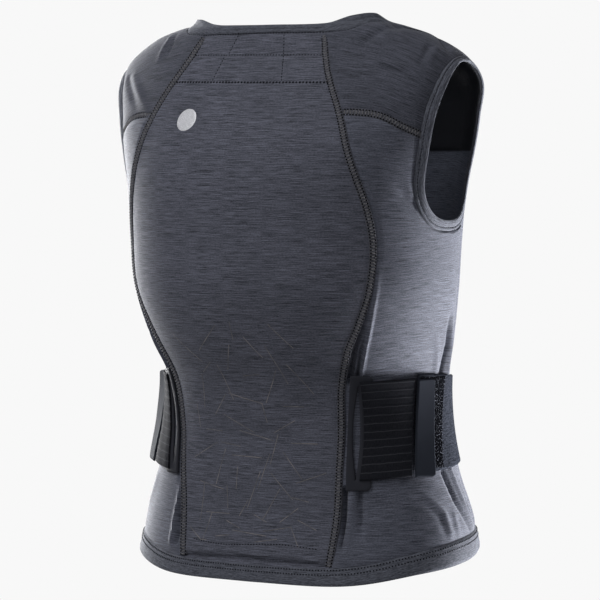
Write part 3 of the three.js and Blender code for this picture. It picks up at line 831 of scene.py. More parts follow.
# Dark dots on the flatlock seams' needle rows: painted shade, the needle thread drawn near-black as if in shadow where
# it sinks into its holes.
NEEDLE_HOLE_SHADE = Thread("needle_hole_shade", "#18181b", 0.9, second="#0d0d10", gloss=0.02)
FILM = ReflectiveFilm("reflective_film", "#d2d3d8", 0.5)
STROKE = Thread("tonal_print", "#777375", 0.8, second="#565559", grain=9)
ZIP_PLASTIC = Grained("zip_plastic", "#1b1c21", 0.4, gloss=0.5, shade="#141519")


def linked(name: str, data: bpy.types.ID) -> Piece:
    """New object of some data, linked to the scene."""
    piece = bpy.data.objects.new(name, data)
    bpy.context.scene.collection.objects.link(piece)
    return piece


def mesh_object(
    name: str,
    points: Array,
    faces: Sequence[list[int]],
    uv: Array,
    finishes: Sequence[Finish],
    side: Side = Side.RIGHT,
    slots: Array | None = None,
) -> Piece:
    """Makes a smooth mesh object in the shared frame.

    Args:
        name: The object's name.
        points: Corners in millimetres, on the right half.
        faces: Corner numbers of each face, turning outward.
        uv: Cloth coordinates of each corner in metres.
        finishes: The mesh's finishes.
        side: Half of the vest; the left is the mirror image.
        slots: Finish number of each face.

    Returns:
        The object, linked to the scene.
    """
    mesh = bpy.data.meshes.new(name)
    turned = faces if side is Side.RIGHT else [face[::-1] for face in faces]
    mesh.from_pydata((points * side.mirror * MM).tolist(), [], turned)
    layer = mesh.uv_layers.new(name=CLOTH_UV)
    corners = np.zeros(len(mesh.loops), int)
    mesh.loops.foreach_get("vertex_index", corners)
    layer.data.foreach_set("uv", uv[corners].astype(np.float32).ravel())
    for finish in finishes:
        mesh.materials.append(finish.material())
    if slots is not None:
        mesh.polygons.foreach_set("material_index", slots.astype(np.int32))
    mesh.shade_smooth()
    mesh.set_sharp_from_angle(angle=math.radians(SHARP_ANGLE))
    mesh.update()
    return linked(name, mesh)


def quads(*corners: Array) -> Array:
    """Faces from four grids of corner numbers."""
    return np.stack([np.ravel(corner) for corner in corners], axis=-1)


@dataclass
class Wall:
    """Closed cloth wall between an outer and an inner grid of points.

    Attributes:
        outer: Points of the outside.
        inner: Points of the inside.
        uv: Cloth coordinates in metres.
        is_loop: Whether the rows close on themselves.
    """

    outer: Array
    inner: Array
    uv: Array
    is_loop: bool = False

    def at(self, layer: int, row: Array, column: Array | int) -> Array:
        """Corner numbers on the outside, layer 0, or on the inside, layer 1."""
        rows, columns = self.outer.shape[:2]
        return (layer * rows + row % rows) * columns + column

    def steps(self) -> tuple[Array, Array]:
        """Numbers of the rows and columns that have a next one."""
        rows, columns = self.outer.shape[:2]
        return np.arange(rows if self.is_loop else rows - 1)[:, None], np.arange(columns - 1)[None, :]

    def outside(self) -> Array:
        """Faces of the outside."""
        at, (r, c) = self.at, self.steps()
        return quads(at(0, r, c), at(0, r, c + 1), at(0, r + 1, c + 1), at(0, r + 1, c))

    def faces(self) -> tuple[Array, Array]:
        """Faces of the wall, and which of them are on its inside."""
        at, (r, c) = self.at, self.steps()
        last = self.outer.shape[1] - 1
        parts = [
            self.outside(),
            quads(at(1, r, c), at(1, r + 1, c), at(1, r + 1, c + 1), at(1, r, c + 1)),
            quads(at(0, r, 0), at(0, r + 1, 0), at(1, r + 1, 0), at(1, r, 0)),
            quads(at(0, r, last), at(1, r, last), at(1, r + 1, last), at(0, r + 1, last)),
        ]
        if not self.is_loop:
            foot, head = np.zeros((1, 1), int), np.full((1, 1), self.outer.shape[0] - 1)
            parts.append(quads(at(0, foot, c), at(1, foot, c), at(1, foot, c + 1), at(0, foot, c + 1)))
            parts.append(quads(at(0, head, c), at(0, head, c + 1), at(1, head, c + 1), at(1, head, c)))
        inside = np.concatenate([np.full(len(part), i == 1) for i, part in enumerate(parts)])
        return np.concatenate(parts), inside

    def build(self, name: str, finishes: Sequence[Finish], side: Side = Side.RIGHT) -> Piece:
        """Makes the wall's object.

        Args:
            name: The object's name.
            finishes: Finish of the outside and the rim, and of the inside where it differs.
            side: Half of the vest; the left is the mirror image.

        Returns:
            The object.
        """
        faces, inside = self.faces()
        points = np.concatenate([self.outer.reshape(-1, 3), self.inner.reshape(-1, 3)])
        flat = self.uv.reshape(-1, 2)
        slots = inside.astype(int) if len(finishes) > 1 else None
        return mesh_object(name, points, faces.tolist(), np.concatenate([flat, flat]), finishes, side, slots)


@dataclass
class Loft:
    """Closed skin over cross-sections along a path.

    Attributes:
        rings: Points of each section, each a closed turn that runs from outside to inside.
        is_loop: Whether the path closes on itself.
    """

    rings: Array
    is_loop: bool = False

    def build(self, name: str, finish: Finish, side: Side = Side.RIGHT) -> Piece:
        """Makes the skin's object, with end caps on an open path."""
        count, around = self.rings.shape[:2]
        r = np.arange(count if self.is_loop else count - 1)[:, None]
        c = np.arange(around)[None, :]
        ahead, after = (r + 1) % count, (c + 1) % around
        faces = quads(r * around + c, r * around + after, ahead * around + after, ahead * around + c).tolist()
        if not self.is_loop:
            faces.append(list(range(around))[::-1])
            faces.append(list(range((count - 1) * around, count * around)))
        along = run_length(self.rings.mean(axis=1), 0)
        girth = run_length(self.rings, 1)
        uv = paired(np.broadcast_to(along[:, None], girth.shape), girth).reshape(-1, 2) * MM
        return mesh_object(name, self.rings.reshape(-1, 3), faces, uv, [finish], side)


@dataclass
class Path:
    """Line on the cloth with the outward direction at each point, in millimetres."""

    points: Array
    ups: Array

    @property
    def across(self) -> Array:
        """Direction to the right of the line, seen from outside with the line running up."""
        along = unit(np.gradient(self.points, axis=0))
        return unit(np.cross(along, self.ups))

    def moved(self, across: float, lift: float) -> "Path":
        """The line moved sideways and up."""
        return Path(self.points + self.across * across + self.ups * lift, self.ups)

    def leant(self, share: float) -> "Path":
        """The line with its outward direction leant to the left by a share."""
        return Path(self.points, unit(self.ups - self.across * share))

    def on(self, side: Side) -> "Path":
        """The line of the right half on one half of the vest."""
        return Path(self.points * side.mirror, self.ups * side.mirror)

    def band(self, profile: Sequence[tuple[float, float]]) -> Loft:
        """Skin with one cross-section all along, given as sideways and upward distances."""
        across, ups = self.across, self.ups
        rings = [self.points + across * x + ups * h for x, h in profile]
        return Loft(np.stack(rings, axis=1))


def form_path(form: BodyForm, places: Array, height: float = 0, tuck: float = 0) -> Path:
    """Line over the form through places, whose ends go down by a tuck."""
    ends = np.minimum(np.arange(len(places)), np.arange(len(places))[::-1])
    return Path(form.raised(places, height - tuck * (1 - eased(ends / 2))), form.normals(places))


def waves(height: float, first: Array, second: Array) -> Array:
    """Slight unevenness of a cloth: two crossing waves of a height, given by their phases."""
    return height * np.sin(first) * np.sin(second)


@dataclass
class Fold:
    """Fold or crease of the cloth.

    Attributes:
        rows: Angle in degrees, height, half width and relief at points along its line.
    """

    rows: Table

    def relief(self, form: BodyForm, points: Array) -> Array:
        """Height of the fold at points of the form."""
        table = np.asarray(self.rows, float)
        line = form.points(paired(np.radians(table[:, 0]), table[:, 1]))
        best = np.full(points.shape[:-1], np.inf)
        height = np.zeros(points.shape[:-1])
        for i in range(len(line) - 1):
            step = line[i + 1] - line[i]
            share = np.clip((points - line[i]) @ step / (step @ step), 0, 1)
            distance = np.linalg.norm(points - line[i] - share[..., None] * step, axis=-1)
            spread = mix(table[i, 2], table[i + 1, 2], share)
            value = mix(table[i, 3], table[i + 1, 3], share) * np.exp(-((distance / spread) ** 2))
            height = np.where(distance < best, value, height)
            best = np.minimum(distance, best)
        return height


@dataclass
class Inflation:
    """Cloth simulation that fills out a padded panel between its seams.

    Attributes:
        pressure: Pressure inside the pad.
        frames: Frames that the cloth settles for.
        cap: Most that a point may move, in millimetres.
        fabric: Settings of the cloth.
    """

    pressure: float = 4.0
    frames: int = 20
    cap: float = 2.2
    fabric: tuple[tuple[str, float], ...] = (
        ("quality", 5),
        ("mass", 0.25),
        ("tension_stiffness", 18),
        ("compression_stiffness", 18),
        ("bending_stiffness", 1.5),
    )

    def settle(self, wall: Wall, pins: Array) -> Array:
        """Lets the pad swell.

        Args:
            wall: The pad, on a coarse grid.
            pins: Whether each point of the grid is sewn down.

        Returns:
            How far each point of the outer grid moves, in millimetres.
        """
        pad = wall.build("pad_in_simulation", [BACK_KNIT])
        group = pad.vertex_groups.new(name="sewn")
        both = np.concatenate([pins.ravel(), pins.ravel()])
        group.add([int(i) for i in np.flatnonzero(both)], 1.0, "REPLACE")
        cloth = pad.modifiers.new("cloth", "CLOTH")
        for setting, value in self.fabric:
            setattr(cloth.settings, setting, value)
        cloth.settings.use_pressure = True
        cloth.settings.uniform_pressure_force = self.pressure
        cloth.settings.vertex_group_mass = group.name
        cloth.settings.effector_weights.gravity = 0
        cloth.point_cache.frame_start = 1
        cloth.point_cache.frame_end = self.frames
        scene = bpy.context.scene
        for number in range(1, self.frames + 1):
            scene.frame_set(number)
        settled = pad.evaluated_get(bpy.context.evaluated_depsgraph_get()).to_mesh()
        points = np.zeros(len(settled.vertices) * 3)
        settled.vertices.foreach_get("co", points)
        bpy.data.objects.remove(pad)
        scene.frame_set(1)
        count = wall.outer.reshape(-1, 3).shape[0]
        moved = (points.reshape(-1, 3)[:count] / MM - wall.outer.reshape(-1, 3)).reshape(wall.outer.shape)
        length = np.linalg.norm(moved, axis=-1, keepdims=True)
        return moved * np.tanh(length / self.cap) * self.cap / np.maximum(length, 1e-9)


def refined(grid: Array, rows: int, columns: int) -> Array:
    """Grid of values read smoothly at more rows and columns."""
    tall = smooth_table(np.linspace(0, 1, len(grid)), grid, np.linspace(0, 1, rows))
    wide = smooth_table(np.linspace(0, 1, grid.shape[1]), np.swapaxes(tall, 0, 1), np.linspace(0, 1, columns))
    return np.swapaxes(wide, 0, 1)


@dataclass
class Panel:
    """Cloth panel inside four edges, whose seams dip and whose pad thins toward them.

    Attributes:
        form: The body under the cloth.
        dips: Depth of the cloth at its left, right, bottom and top seam.
        shoulders: Distance over which it rises from each seam.
        thickness: Thickness away from the seams.
        taper: Distance over which the pad thins to cloth.
        grain: Share by which the knit follows the panel's rows in place of level lines.
        cloth: Thickness at the seams, without foam.
        gap: Distance by which the rim is drawn in.
        fade: Distance from the rim over which folds come in.
    """

    form: BodyForm
    dips: tuple[float, float, float, float] = (1, 1, 1, 1)
    shoulders: tuple[float, float, float, float] = (10, 10, 10, 10)
    thickness: float = 2.2
    taper: float = 1
    grain: float = 0.5
    cloth: float = 2.2
    gap: float = 0.2
    fade: float = 3

    def drawn_in(self, grid: Array) -> Array:
        """Grid with its rim drawn in, so that neighbours stay apart."""
        grid = grid.copy()
        rim = ((np.s_[:, 0], np.s_[:, 1]), (np.s_[:, -1], np.s_[:, -2]), (np.s_[0], np.s_[1]), (np.s_[-1], np.s_[-2]))
        for edge, inner in rim:
            grid[edge] += unit(grid[inner] - grid[edge]) * self.gap
        return grid

    def cloth_uv(self, points: Array) -> Array:
        """Cloth coordinates in metres: along the girth, and up along the knit's grain."""
        across = run_length(points, 1)
        middle = points.shape[1] // 2
        girth = across - across[:, middle : middle + 1] + points[:, middle : middle + 1, 0]
        along = run_length(points, 0).mean(axis=1, keepdims=True)
        up = mix(points[..., 2], np.broadcast_to(along, girth.shape), self.grain)
        return paired(girth, up) * MM

    def wall(self, edges: Edges, relief: Relief | None = None) -> Wall:
        """The panel's wall.

        Args:
            edges: The panel's edges.
            relief: Height of folds and sewn lines at points of the form.

        Returns:
            The wall, in millimetres.
        """
        places = edges.grid()
        surface = self.form.points(places)
        normals = self.form.normals(places)
        reach = rim_distances(surface)
        sunk = [dip * (1 - eased(far / wide)) for dip, far, wide in zip(self.dips, reach, self.shoulders)]
        nearest = np.minimum.reduce(reach)
        face = -np.maximum.reduce(sunk)
        if relief is not None:
            face = face + eased(nearest / self.fade) * relief(surface)
        padding = mix(self.cloth, self.thickness, eased(nearest / self.taper))
        outer = self.drawn_in(surface + normals * face[..., None])
        inner = self.drawn_in(surface + normals * (face - padding)[..., None])
        return Wall(outer, inner, self.cloth_uv(surface))


def swelled(fine: Wall, coarse: Wall, pins: Array, inflation: Inflation) -> Wall:
    """The fine wall with its outside filled out by a simulation on the coarse one."""
    moved = inflation.settle(coarse, pins)
    rows, columns = fine.outer.shape[:2]
    return Wall(fine.outer + refined(moved, rows, columns), fine.inner, fine.uv)


def rim_pins(wall: Wall) -> Array:
    """Points of a grid's rim, which are sewn to the neighbours."""
    pins = np.zeros(wall.outer.shape[:2], bool)
    pins[[0, -1]] = True
    pins[:, [0, -1]] = True
    return pins


@dataclass
class Dresser:
    """Puts finished pieces on the frame and reports them."""

    count: int = 0

    def place(self, piece: Piece, slot: str, *nodes: str) -> Piece:
        """Lets a piece ride on the vest.

        Args:
            piece: The finished piece.
            slot: Material slot of the record; not used.
            *nodes: CAD nodes that it stands for.

        Returns:
            The piece.
        """
        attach(piece, BODY)
        if nodes:
            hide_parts(*nodes)
        self.count += 1
        LOG.info("%s: %d faces, stands for %s", piece.name, len(piece.data.polygons), ", ".join(nodes) or "nothing")
        return piece


class Shape(Enum):
    """What a Geometry Nodes tree repeats along its path."""

    THREAD = "MeshIcoSphere"
    BLOCK = "MeshCube"


def turned_by(tree: Tree, rotation: Socket, turn: Socket) -> Socket:
    """A rotation turned further about its own axes."""
    spin = add_node(tree, "FunctionNodeEulerToRotation", {0: turn}).outputs[0]
    inputs = {"Rotation": rotation, "Rotate By": spin}
    return add_node(tree, "FunctionNodeRotateRotation", inputs, rotation_space="LOCAL").outputs[0]


@dataclass(frozen=True)
class GrowthTree:
    """Geometry Nodes that set a small shape on many points of an object.

    Attributes:
        name: The tree's name.
        inputs: Name and kind of each input besides the object's geometry and the finish.
    """

    name: str
    inputs: tuple[tuple[str, str], ...]

    def wired(self, tree: Tree, given: Mapping[str, Socket]) -> dict[str, Socket]:
        """Adds the nodes that say where and how each shape stands.

        Args:
            tree: The tree.
            given: Its inputs by name.

        Returns:
            Inputs of the node that sets the shapes.
        """
        raise NotImplementedError

    def fresh(self) -> Tree:
        """A new tree."""
        tree = bpy.data.node_groups.new(self.name, "GeometryNodeTree")
        for label, kind in (("Source", "Geometry"), *self.inputs, ("Finish", "Material")):
            tree.interface.new_socket(name=label, in_out="INPUT", socket_type=f"NodeSocket{kind}")
        tree.interface.new_socket(name="Grown", in_out="OUTPUT", socket_type="NodeSocketGeometry")
        given = add_node(tree, "NodeGroupInput").outputs
        placed = add_node(tree, "GeometryNodeInstanceOnPoints", self.wired(tree, given)).outputs[0]
        real = add_node(tree, "GeometryNodeRealizeInstances", {"Geometry": placed}).outputs[0]
        dressed = add_node(tree, "GeometryNodeSetMaterial", {"Geometry": real, "Material": given["Finish"]}).outputs[0]
        add_node(tree, "NodeGroupOutput", {"Grown": dressed})
        return tree

    def grow(self, source: Piece, values: Mapping[str, object], finish: Finish, name: str) -> Piece:
        """Plain mesh of what the tree, made once, makes out of an object.

        Args:
            source: Object that the tree works on; it is removed.
            values: Value of each input by its name.
            finish: Finish of the shapes.
            name: Name of the new object.

        Returns:
            The new object.
        """
        given = {**values, "Finish": finish.material()}
        modifier = source.modifiers.new("grown", "NODES")
        modifier.node_group = bpy.data.node_groups.get(self.name) or self.fresh()
        for item in modifier.node_group.interface.items_tree:
            if item.name in given:
                modifier[item.identifier] = given[item.name]
        source.update_tag()
        evaluated = source.evaluated_get(bpy.context.evaluated_depsgraph_get())
        mesh = bpy.data.meshes.new_from_object(evaluated)
        source.modifiers.remove(modifier)
        bpy.data.objects.remove(source)
        mesh.name = name
        return linked(name, mesh)


@dataclass(frozen=True)
class RowTree(GrowthTree):
    """Geometry Nodes that repeat a small shape along lines: stitches, dark dots of painted needle-hole shade, and zip
    teeth.

    The lines are edges whose points carry their outward direction as an attribute.
    """

    shape: Shape = Shape.THREAD

    def wired(self, tree: Tree, given: Mapping[str, Socket]) -> dict[str, Socket]:
        """Shapes at every pitch that lie along the line, upright on the cloth and slanted to and fro."""
        curve = add_node(tree, "GeometryNodeMeshToCurve", {"Mesh": given["Source"]}).outputs[0]
        spaced = {"Curve": curve, "Length": given["Pitch"]}
        points = add_node(tree, "GeometryNodeResampleCurve", spaced, mode="LENGTH").outputs[0]
        tangent = add_node(tree, "GeometryNodeInputTangent").outputs[0]
        read = add_node(tree, "GeometryNodeInputNamedAttribute", {"Name": OUTWARD}, data_type="FLOAT_VECTOR")
        along = add_node(tree, "FunctionNodeAlignRotationToVector", {"Vector": tangent}, axis="X").outputs[0]
        lean = {"Rotation": along, "Vector": read.outputs[0]}
        upright = add_node(tree, "FunctionNodeAlignRotationToVector", lean, axis="Z", pivot_axis="X").outputs[0]
        parity = combined(tree, "FLOORED_MODULO", add_node(tree, "GeometryNodeInputIndex").outputs[0], 2.0)
        sign = combined(tree, "ADD", combined(tree, "MULTIPLY", parity, -2.0), 1.0)
        slant = combined(tree, "MULTIPLY", sign, given["Slant"])
        turn = add_node(tree, "ShaderNodeCombineXYZ", {2: slant}).outputs[0]
        sizes = {number: given[label] for number, label in enumerate(("Length", "Width", "Height"))}
        size = add_node(tree, "ShaderNodeCombineXYZ", sizes).outputs[0]
        is_thread = self.shape is Shape.THREAD
        solid = {"Radius": 0.5, "Subdivisions": 2} if is_thread else {"Size": (1, 1, 1)}
        shape = add_node(tree, f"GeometryNode{self.shape.value}", solid).outputs[0]
        smooth = add_node(tree, "GeometryNodeSetShadeSmooth", {"Geometry": shape, "Shade Smooth": is_thread}).outputs[0]
        rotation = turned_by(tree, upright, turn)
        return {"Points": points, "Instance": smooth, "Rotation": rotation, "Scale": size}


def lines_object(name: str, paths: Sequence[Path]) -> Piece:
    """Mesh of edges along paths, with their outward directions."""
    ends = np.cumsum([len(path.points) for path in paths])
    numbers = np.arange(ends[-1] - 1)
    starts = numbers[~np.isin(numbers + 1, ends)]
    edges = paired(starts, starts + 1).tolist()
    mesh = bpy.data.meshes.new(name)
    mesh.from_pydata((np.concatenate([path.points for path in paths]) * MM).tolist(), edges, [])
    outward = mesh.attributes.new(OUTWARD, "FLOAT_VECTOR", "POINT")
    ups = np.concatenate([path.ups for path in paths])
    outward.data.foreach_set("vector", ups.astype(np.float32).ravel())
    return linked(name, mesh)


@dataclass(frozen=True)
class RowSize:
    """Sizes of a row of stitches in millimetres, and the slant of each in degrees."""

    pitch: float
    length: float
    width: float
    height: float
    slant: float = 0

    def inputs(self) -> dict[str, float]:
        """Values of a row's tree by name, in metres and radians."""
        sizes = {"Pitch": self.pitch, "Length": self.length, "Width": self.width, "Height": self.height}
        return {label: size * MM for label, size in sizes.items()} | {"Slant": math.radians(self.slant)}


def grow_row(
    name: str, paths: Sequence[Path], size: RowSize, finish: Finish, shape: Shape, dresser: Dresser, slot: str
) -> Piece:
    """Grows one kind of row along its lines and places it."""
    values = size.inputs()
    inputs = tuple((label, "Float") for label in values)
    tree = RowTree(f"row_of_{shape.name.lower()}", inputs, shape)
    return dresser.place(tree.grow(lines_object(f"{name}_lines", paths), values, finish, name), slot)


@dataclass
class Stitching:
    """All sewn lines of the vest, gathered by finish and then grown in one go each."""

    zigzag: RowSize = RowSize(2.4, 1, 3.6, 0.6, 9)
    mark: RowSize = RowSize(2.4, 1.4, 1.3, 0.7)
    top: RowSize = RowSize(2.6, 1.8, 0.85, 0.6)
    bold: RowSize = RowSize(3.0, 1.9, 1.8, 0.7)
    hem: RowSize = RowSize(2.5, 1.3, 1.2, 0.6)
    tape: Table = (
        (-3.8, -1.4), (-3.5, -0.5), (-2.9, -0.05), (-1, 0.15), (1, 0.15), (2.7, 0), (3.2, -0.6),
        (3.4, -2.8), (0, -2.4),
    )
    mark_sink: float = 0.1
    zigzags: list[Path] = field(default_factory=list)
    marks: list[Path] = field(default_factory=list)
    tops: list[Path] = field(default_factory=list)
    bolds: list[Path] = field(default_factory=list)
    hem_rows: list[Path] = field(default_factory=list)

    def flatlock(self, path: Path, half: float = 2.0, lift: float = 0.25) -> None:
        """Adds a flatlock seam: slanted threads between two rows of dark dots, painted shade of the needle holes."""
        self.zigzags.append(path.moved(0, lift))
        self.marks.extend([path.moved(-half, lift), path.moved(half, lift - self.mark_sink)])

    def build(self, dresser: Dresser) -> None:
        """Grows the rows of each kind."""
        for name, paths, size, finish in (
            ("flatlock_threads", self.zigzags, self.zigzag, SEAM_THREAD),
            ("needle_hole_shades", self.marks, self.mark, NEEDLE_HOLE_SHADE),
            ("topstitch_threads", self.tops, self.top, PLAIN_THREAD),
            ("pocket_stitches", self.bolds, self.bold, PLAIN_THREAD),
            ("hem_stitches", self.hem_rows, self.hem, PLAIN_THREAD),
        ):
            grow_row(name, paths, size, finish, Shape.THREAD, dresser, "edge_knit")


@dataclass
class Skin:
    """Outside of a finished piece, on which smaller things are laid."""

    piece: Piece
    away: float = 25

    @cached_property
    def tree(self) -> BVHTree:
        """Search tree of the piece's faces."""
        mesh = self.piece.data
        points = [vertex.co.copy() for vertex in mesh.vertices]
        return BVHTree.FromPolygons(points, [tuple(face.vertices) for face in mesh.polygons])

    def laid(self, path: Path, lift: float) -> Path:
        """The line laid on the piece, above it by a lift."""
        points, ups = [], []
        for point, up in zip(path.points, path.ups):
            start = Vector((point + up * self.away) * MM)
            hit, normal, _, _ = self.tree.ray_cast(start, Vector(-up))
            spot = point if hit is None else np.array(hit) / MM
            out = up if normal is None else np.array(normal)
            points.append(spot + out * lift)
            ups.append(out)
        return Path(np.array(points), np.array(ups))


@dataclass
class SubAssembly:
    """Pieces that are cut after the pattern, placed on the frame and sewn."""

    pattern: Pattern
    dresser: Dresser
    stitching: Stitching

    @property
    def form(self) -> BodyForm:
        """The body under the cloth."""
        return self.pattern.form


@dataclass
class BackPanel(SubAssembly):
    """Padded back between the two curved seams, with the sewn lines of its pocket at the top.

    Attributes:
        insert_foot: Height of the foam insert's lower edge.
        insert_wave: Length over which that edge waves.
        insert_edge: Height over which the cloth comes down there.
        insert_rise: Height by which the foam lifts the cloth above it.
        sag: Height of the cloth's slight sag, and its lengths across and up.
        foot_row: Height of the sewn row above that edge, its half width, and the height and length of its wave.
        row_lifts: Height of a plain and of a bold row above the cloth.
        bold_row: Number of the sewn line with the thick thread.
        groove: Half width and depth of the grooves along the sewn lines.
        pinned: Distance from a sewn line within which the cloth is held down.
        sewn: Ends of each sewn line, as distance across and height.
        seam_tape: Height, tucked ends and sideways place of the tape on each back seam.
        far_tape: Lean and lift of the left tape, which is seen at a flat angle.
    """

    thickness: float = 11
    taper: float = 30
    simulation_density: int = 3
    insert_foot: float = -400.5
    insert_wave: float = 26
    insert_edge: float = 2.4
    insert_rise: float = 3.6
    sag: tuple[float, float, float] = (0.35, 23, 41)
    foot_row: tuple[float, float, float, float] = (-390.5, 58, 1.5, 17)
    row_lifts: tuple[float, float] = (0.05, 0.1)
    bold_row: int = 1
    groove: tuple[float, float] = (2.4, 0.6)
    pinned: float = 3
    seam_tape: tuple[float, float, float] = (-0.3, 0.9, -0.9)
    far_tape: tuple[float, float] = (0.42, 0.6)
    sewn: tuple[tuple[float, float, float, float], ...] = (
        (-62, -6, 62, -8),
        (-73, -27.6, 73, -29.6),
        (22, 8, 32, -27),
        (-21.5, 10, -26, -5),
        (-30, -9, -33.5, -26),
    )

    def line(self, ends: tuple[float, float, float, float]) -> Array:
        """Places of a sewn line from its ends, as distances across and heights."""
        t = np.linspace(0, 1, 90)
        x0, z0, x1, z1 = ends
        return self.form.across(mix(x0, x1, t), mix(z0, z1, t))

    def off_lines(self, points: Array) -> Array:
        """Distance of each point from the nearest sewn line."""
        far = np.full(points.shape[:-1], np.inf)
        for ends in self.sewn:
            line = self.form.points(self.line(ends))
            for spot in line[::3]:
                far = np.minimum(far, np.linalg.norm(points - spot, axis=-1))
        return far

    def relief(self, points: Array) -> Array:
        """Sewn grooves, a slight sag, and the foam insert that ends above the hem."""
        spread, depth = self.groove
        groove = -depth * np.exp(-((self.off_lines(points) / spread) ** 2))
        x, z = points[..., 0], points[..., 2]
        height, wide, tall = self.sag
        sag = waves(height, x / wide + 1.3, z / tall)
        foot = self.insert_foot + np.cos(x / self.insert_wave)
        return groove + sag - self.insert_rise * (1 - eased((z - foot) / self.insert_edge + 0.5))

    def panel(self) -> Panel:
        """The panel's cloth and foam."""
        dips = (1.1, 1.1, 1.0, 1.0)
        return Panel(self.form, dips, (7, 7, 4, 3), self.thickness, self.taper, grain=0)

    def build(self) -> Piece:
        """Makes the panel, its sewn lines and the seams along its sides."""
        panel = self.panel()
        fine = panel.wall(self.pattern.back_edges(), self.relief)
        rough = Pattern(self.form, self.simulation_density)
        coarse = panel.wall(rough.back_edges(), self.relief)
        pins = rim_pins(coarse) | (self.off_lines(coarse.outer) < self.pinned)
        piece = swelled(fine, coarse, pins, Inflation()).build("back_panel_pad", [BACK_KNIT, MESH_LINING])
        self.dresser.place(piece, "back_knit", "back_panel")
        self.sew(Skin(piece))
        return piece

    def sew(self, skin: Skin) -> None:
        """Lays the pocket's stitches on the panel and joins it to its neighbours."""
        for number, ends in enumerate(self.sewn):
            is_bold = number == self.bold_row
            row = skin.laid(form_path(self.form, self.line(ends)), self.row_lifts[is_bold])
            (self.stitching.bolds if is_bold else self.stitching.tops).append(row)
        level, half, rise, length = self.foot_row
        across = np.linspace(-half, half, 90)
        foot = self.form.across(across, level + rise * np.sin(across / length))
        self.stitching.tops.append(skin.laid(form_path(self.form, foot), self.row_lifts[0]))
        seam = np.concatenate([self.pattern.seam_lower, self.pattern.seam_upper[1:]])
        height, tuck, aside = self.seam_tape
        path = form_path(self.form, seam[1::3], height, tuck).moved(aside, 0)
        lean, lift = self.far_tape
        for side, line in ((Side.RIGHT, path), (Side.LEFT, path.leant(lean).moved(0, lift))):
            tape = line.band(self.stitching.tape).build(f"back_seam_tape_{side.suffix}", SEAM_TAPE, side)
            self.dresser.place(tape, "edge_knit")
            self.stitching.flatlock(line.on(side))


@dataclass
class ShoulderYoke(SubAssembly):
    """Shoulder panel from the back yoke seam over the shoulder to the front.

    Attributes:
        swell: Height of the cloth's slight swell, and its lengths across and up.
        tape_heights: Height of the seam tape above the form.
        creases: Rows of each crease, as for a fold.
    """

    swell: tuple[float, float, float] = (0.3, 13, 17)
    flat: tuple[float, float] = (0.14, 0.17)
    tape_heights: BySide[float] = BySide(-0.1, -0.75)
    tape: Table = ((-3.6, -1.6), (-3.1, -0.35), (-1, 0.05), (1, 0.05), (3.1, -0.35), (3.6, -1.6), (0, -2))
    creases: BySide[tuple[Table, ...]] = BySide(
        right=(
            ((66, 13, 3.4, -1.4), (57.5, 11, 3.4, -2), (44.2, 4.5, 3.4, -2), (35.5, -2.5, 3.4, 0)),
            ((38.5, -12, 2.4, 0.6), (46, -16, 2.4, 1.6), (55.5, -20, 2.4, 0.4)),
            ((43, -19, 3, -0.8), (50, -22.5, 3, -1.2), (57, -26, 3, 0)),
            ((71.8, -2, 2.4, -1.8), (63.2, -10, 2.4, -1.7), (58.8, -17.5, 2.4, 0)),
            ((70, 12, 4, -1.5), (84, 15, 4.5, -3), (98, 11.5, 4.5, -3), (112, 4, 4, 0)),
            ((76.2, -3.5, 2.6, 1.1), (67.2, -11.5, 2.6, 1.1), (63.2, -20.5, 2.4, 0)),
            ((101.8, 5, 3, -3), (88.8, -1.5, 3, -2.6), (82.2, -9.5, 2.6, 0)),
        ),
        left=(
            ((50.5, 11, 1.2, -0.5), (39, 0.5, 1.3, -1.1), (34.5, -9.5, 1.3, 0)),
            ((51.8, 9, 2.2, 0.8), (42.4, -2.5, 2.4, 1.1), (38, -14, 3, 0)),
            ((66.5, 15, 2.2, -0.5), (41.8, 13, 2.2, -0.5)),
            ((51, -22, 3.4, 0.8), (42.8, -34.5, 3.6, 1.6), (35.2, -49.5, 4, 0.6)),
            ((57, -24, 3.6, -1.4), (48.5, -38, 3.6, -1.8), (41, -52, 3.6, 0)),
        ),
    )

    def build(self, side: Side) -> Piece:
        """Makes one yoke and its seam on the back."""
        folds = [Fold(rows) for rows in self.creases.on(side)]

        def relief(points: Array) -> Array:
            """Creases, and a slight swell of the cloth."""
            height, wide, tall = self.swell
            swell = waves(height, points[..., 0] / wide + side.value, points[..., 2] / tall + 0.4)
            return swell + sum(fold.relief(self.form, points) for fold in folds)

        panel = Panel(self.form, (0.7, 1, 0.9, 1), (5, 9, 6, 8), grain=1)
        wall = panel.wall(self.pattern.yoke_edges(), relief)
        piece = wall.build(f"yoke_{side.suffix}_cloth", [YOKE_KNIT_SHADED, MESH_LINING], side)
        self.dresser.place(piece, "yoke_knit", f"yoke_{side.suffix}")
        seam = self.pattern.yoke_seam(self.pattern.yoke_steps)[3::3]
        path = form_path(self.form, seam, self.tape_heights.on(side), 0.6)
        tape = path.band(self.tape).build(f"yoke_seam_tape_{side.suffix}", SEAM_TAPE, side)
        self.dresser.place(tape, "edge_knit")
        self.stitching.flatlock(path.on(side), 2.1, 0.15)
        return piece


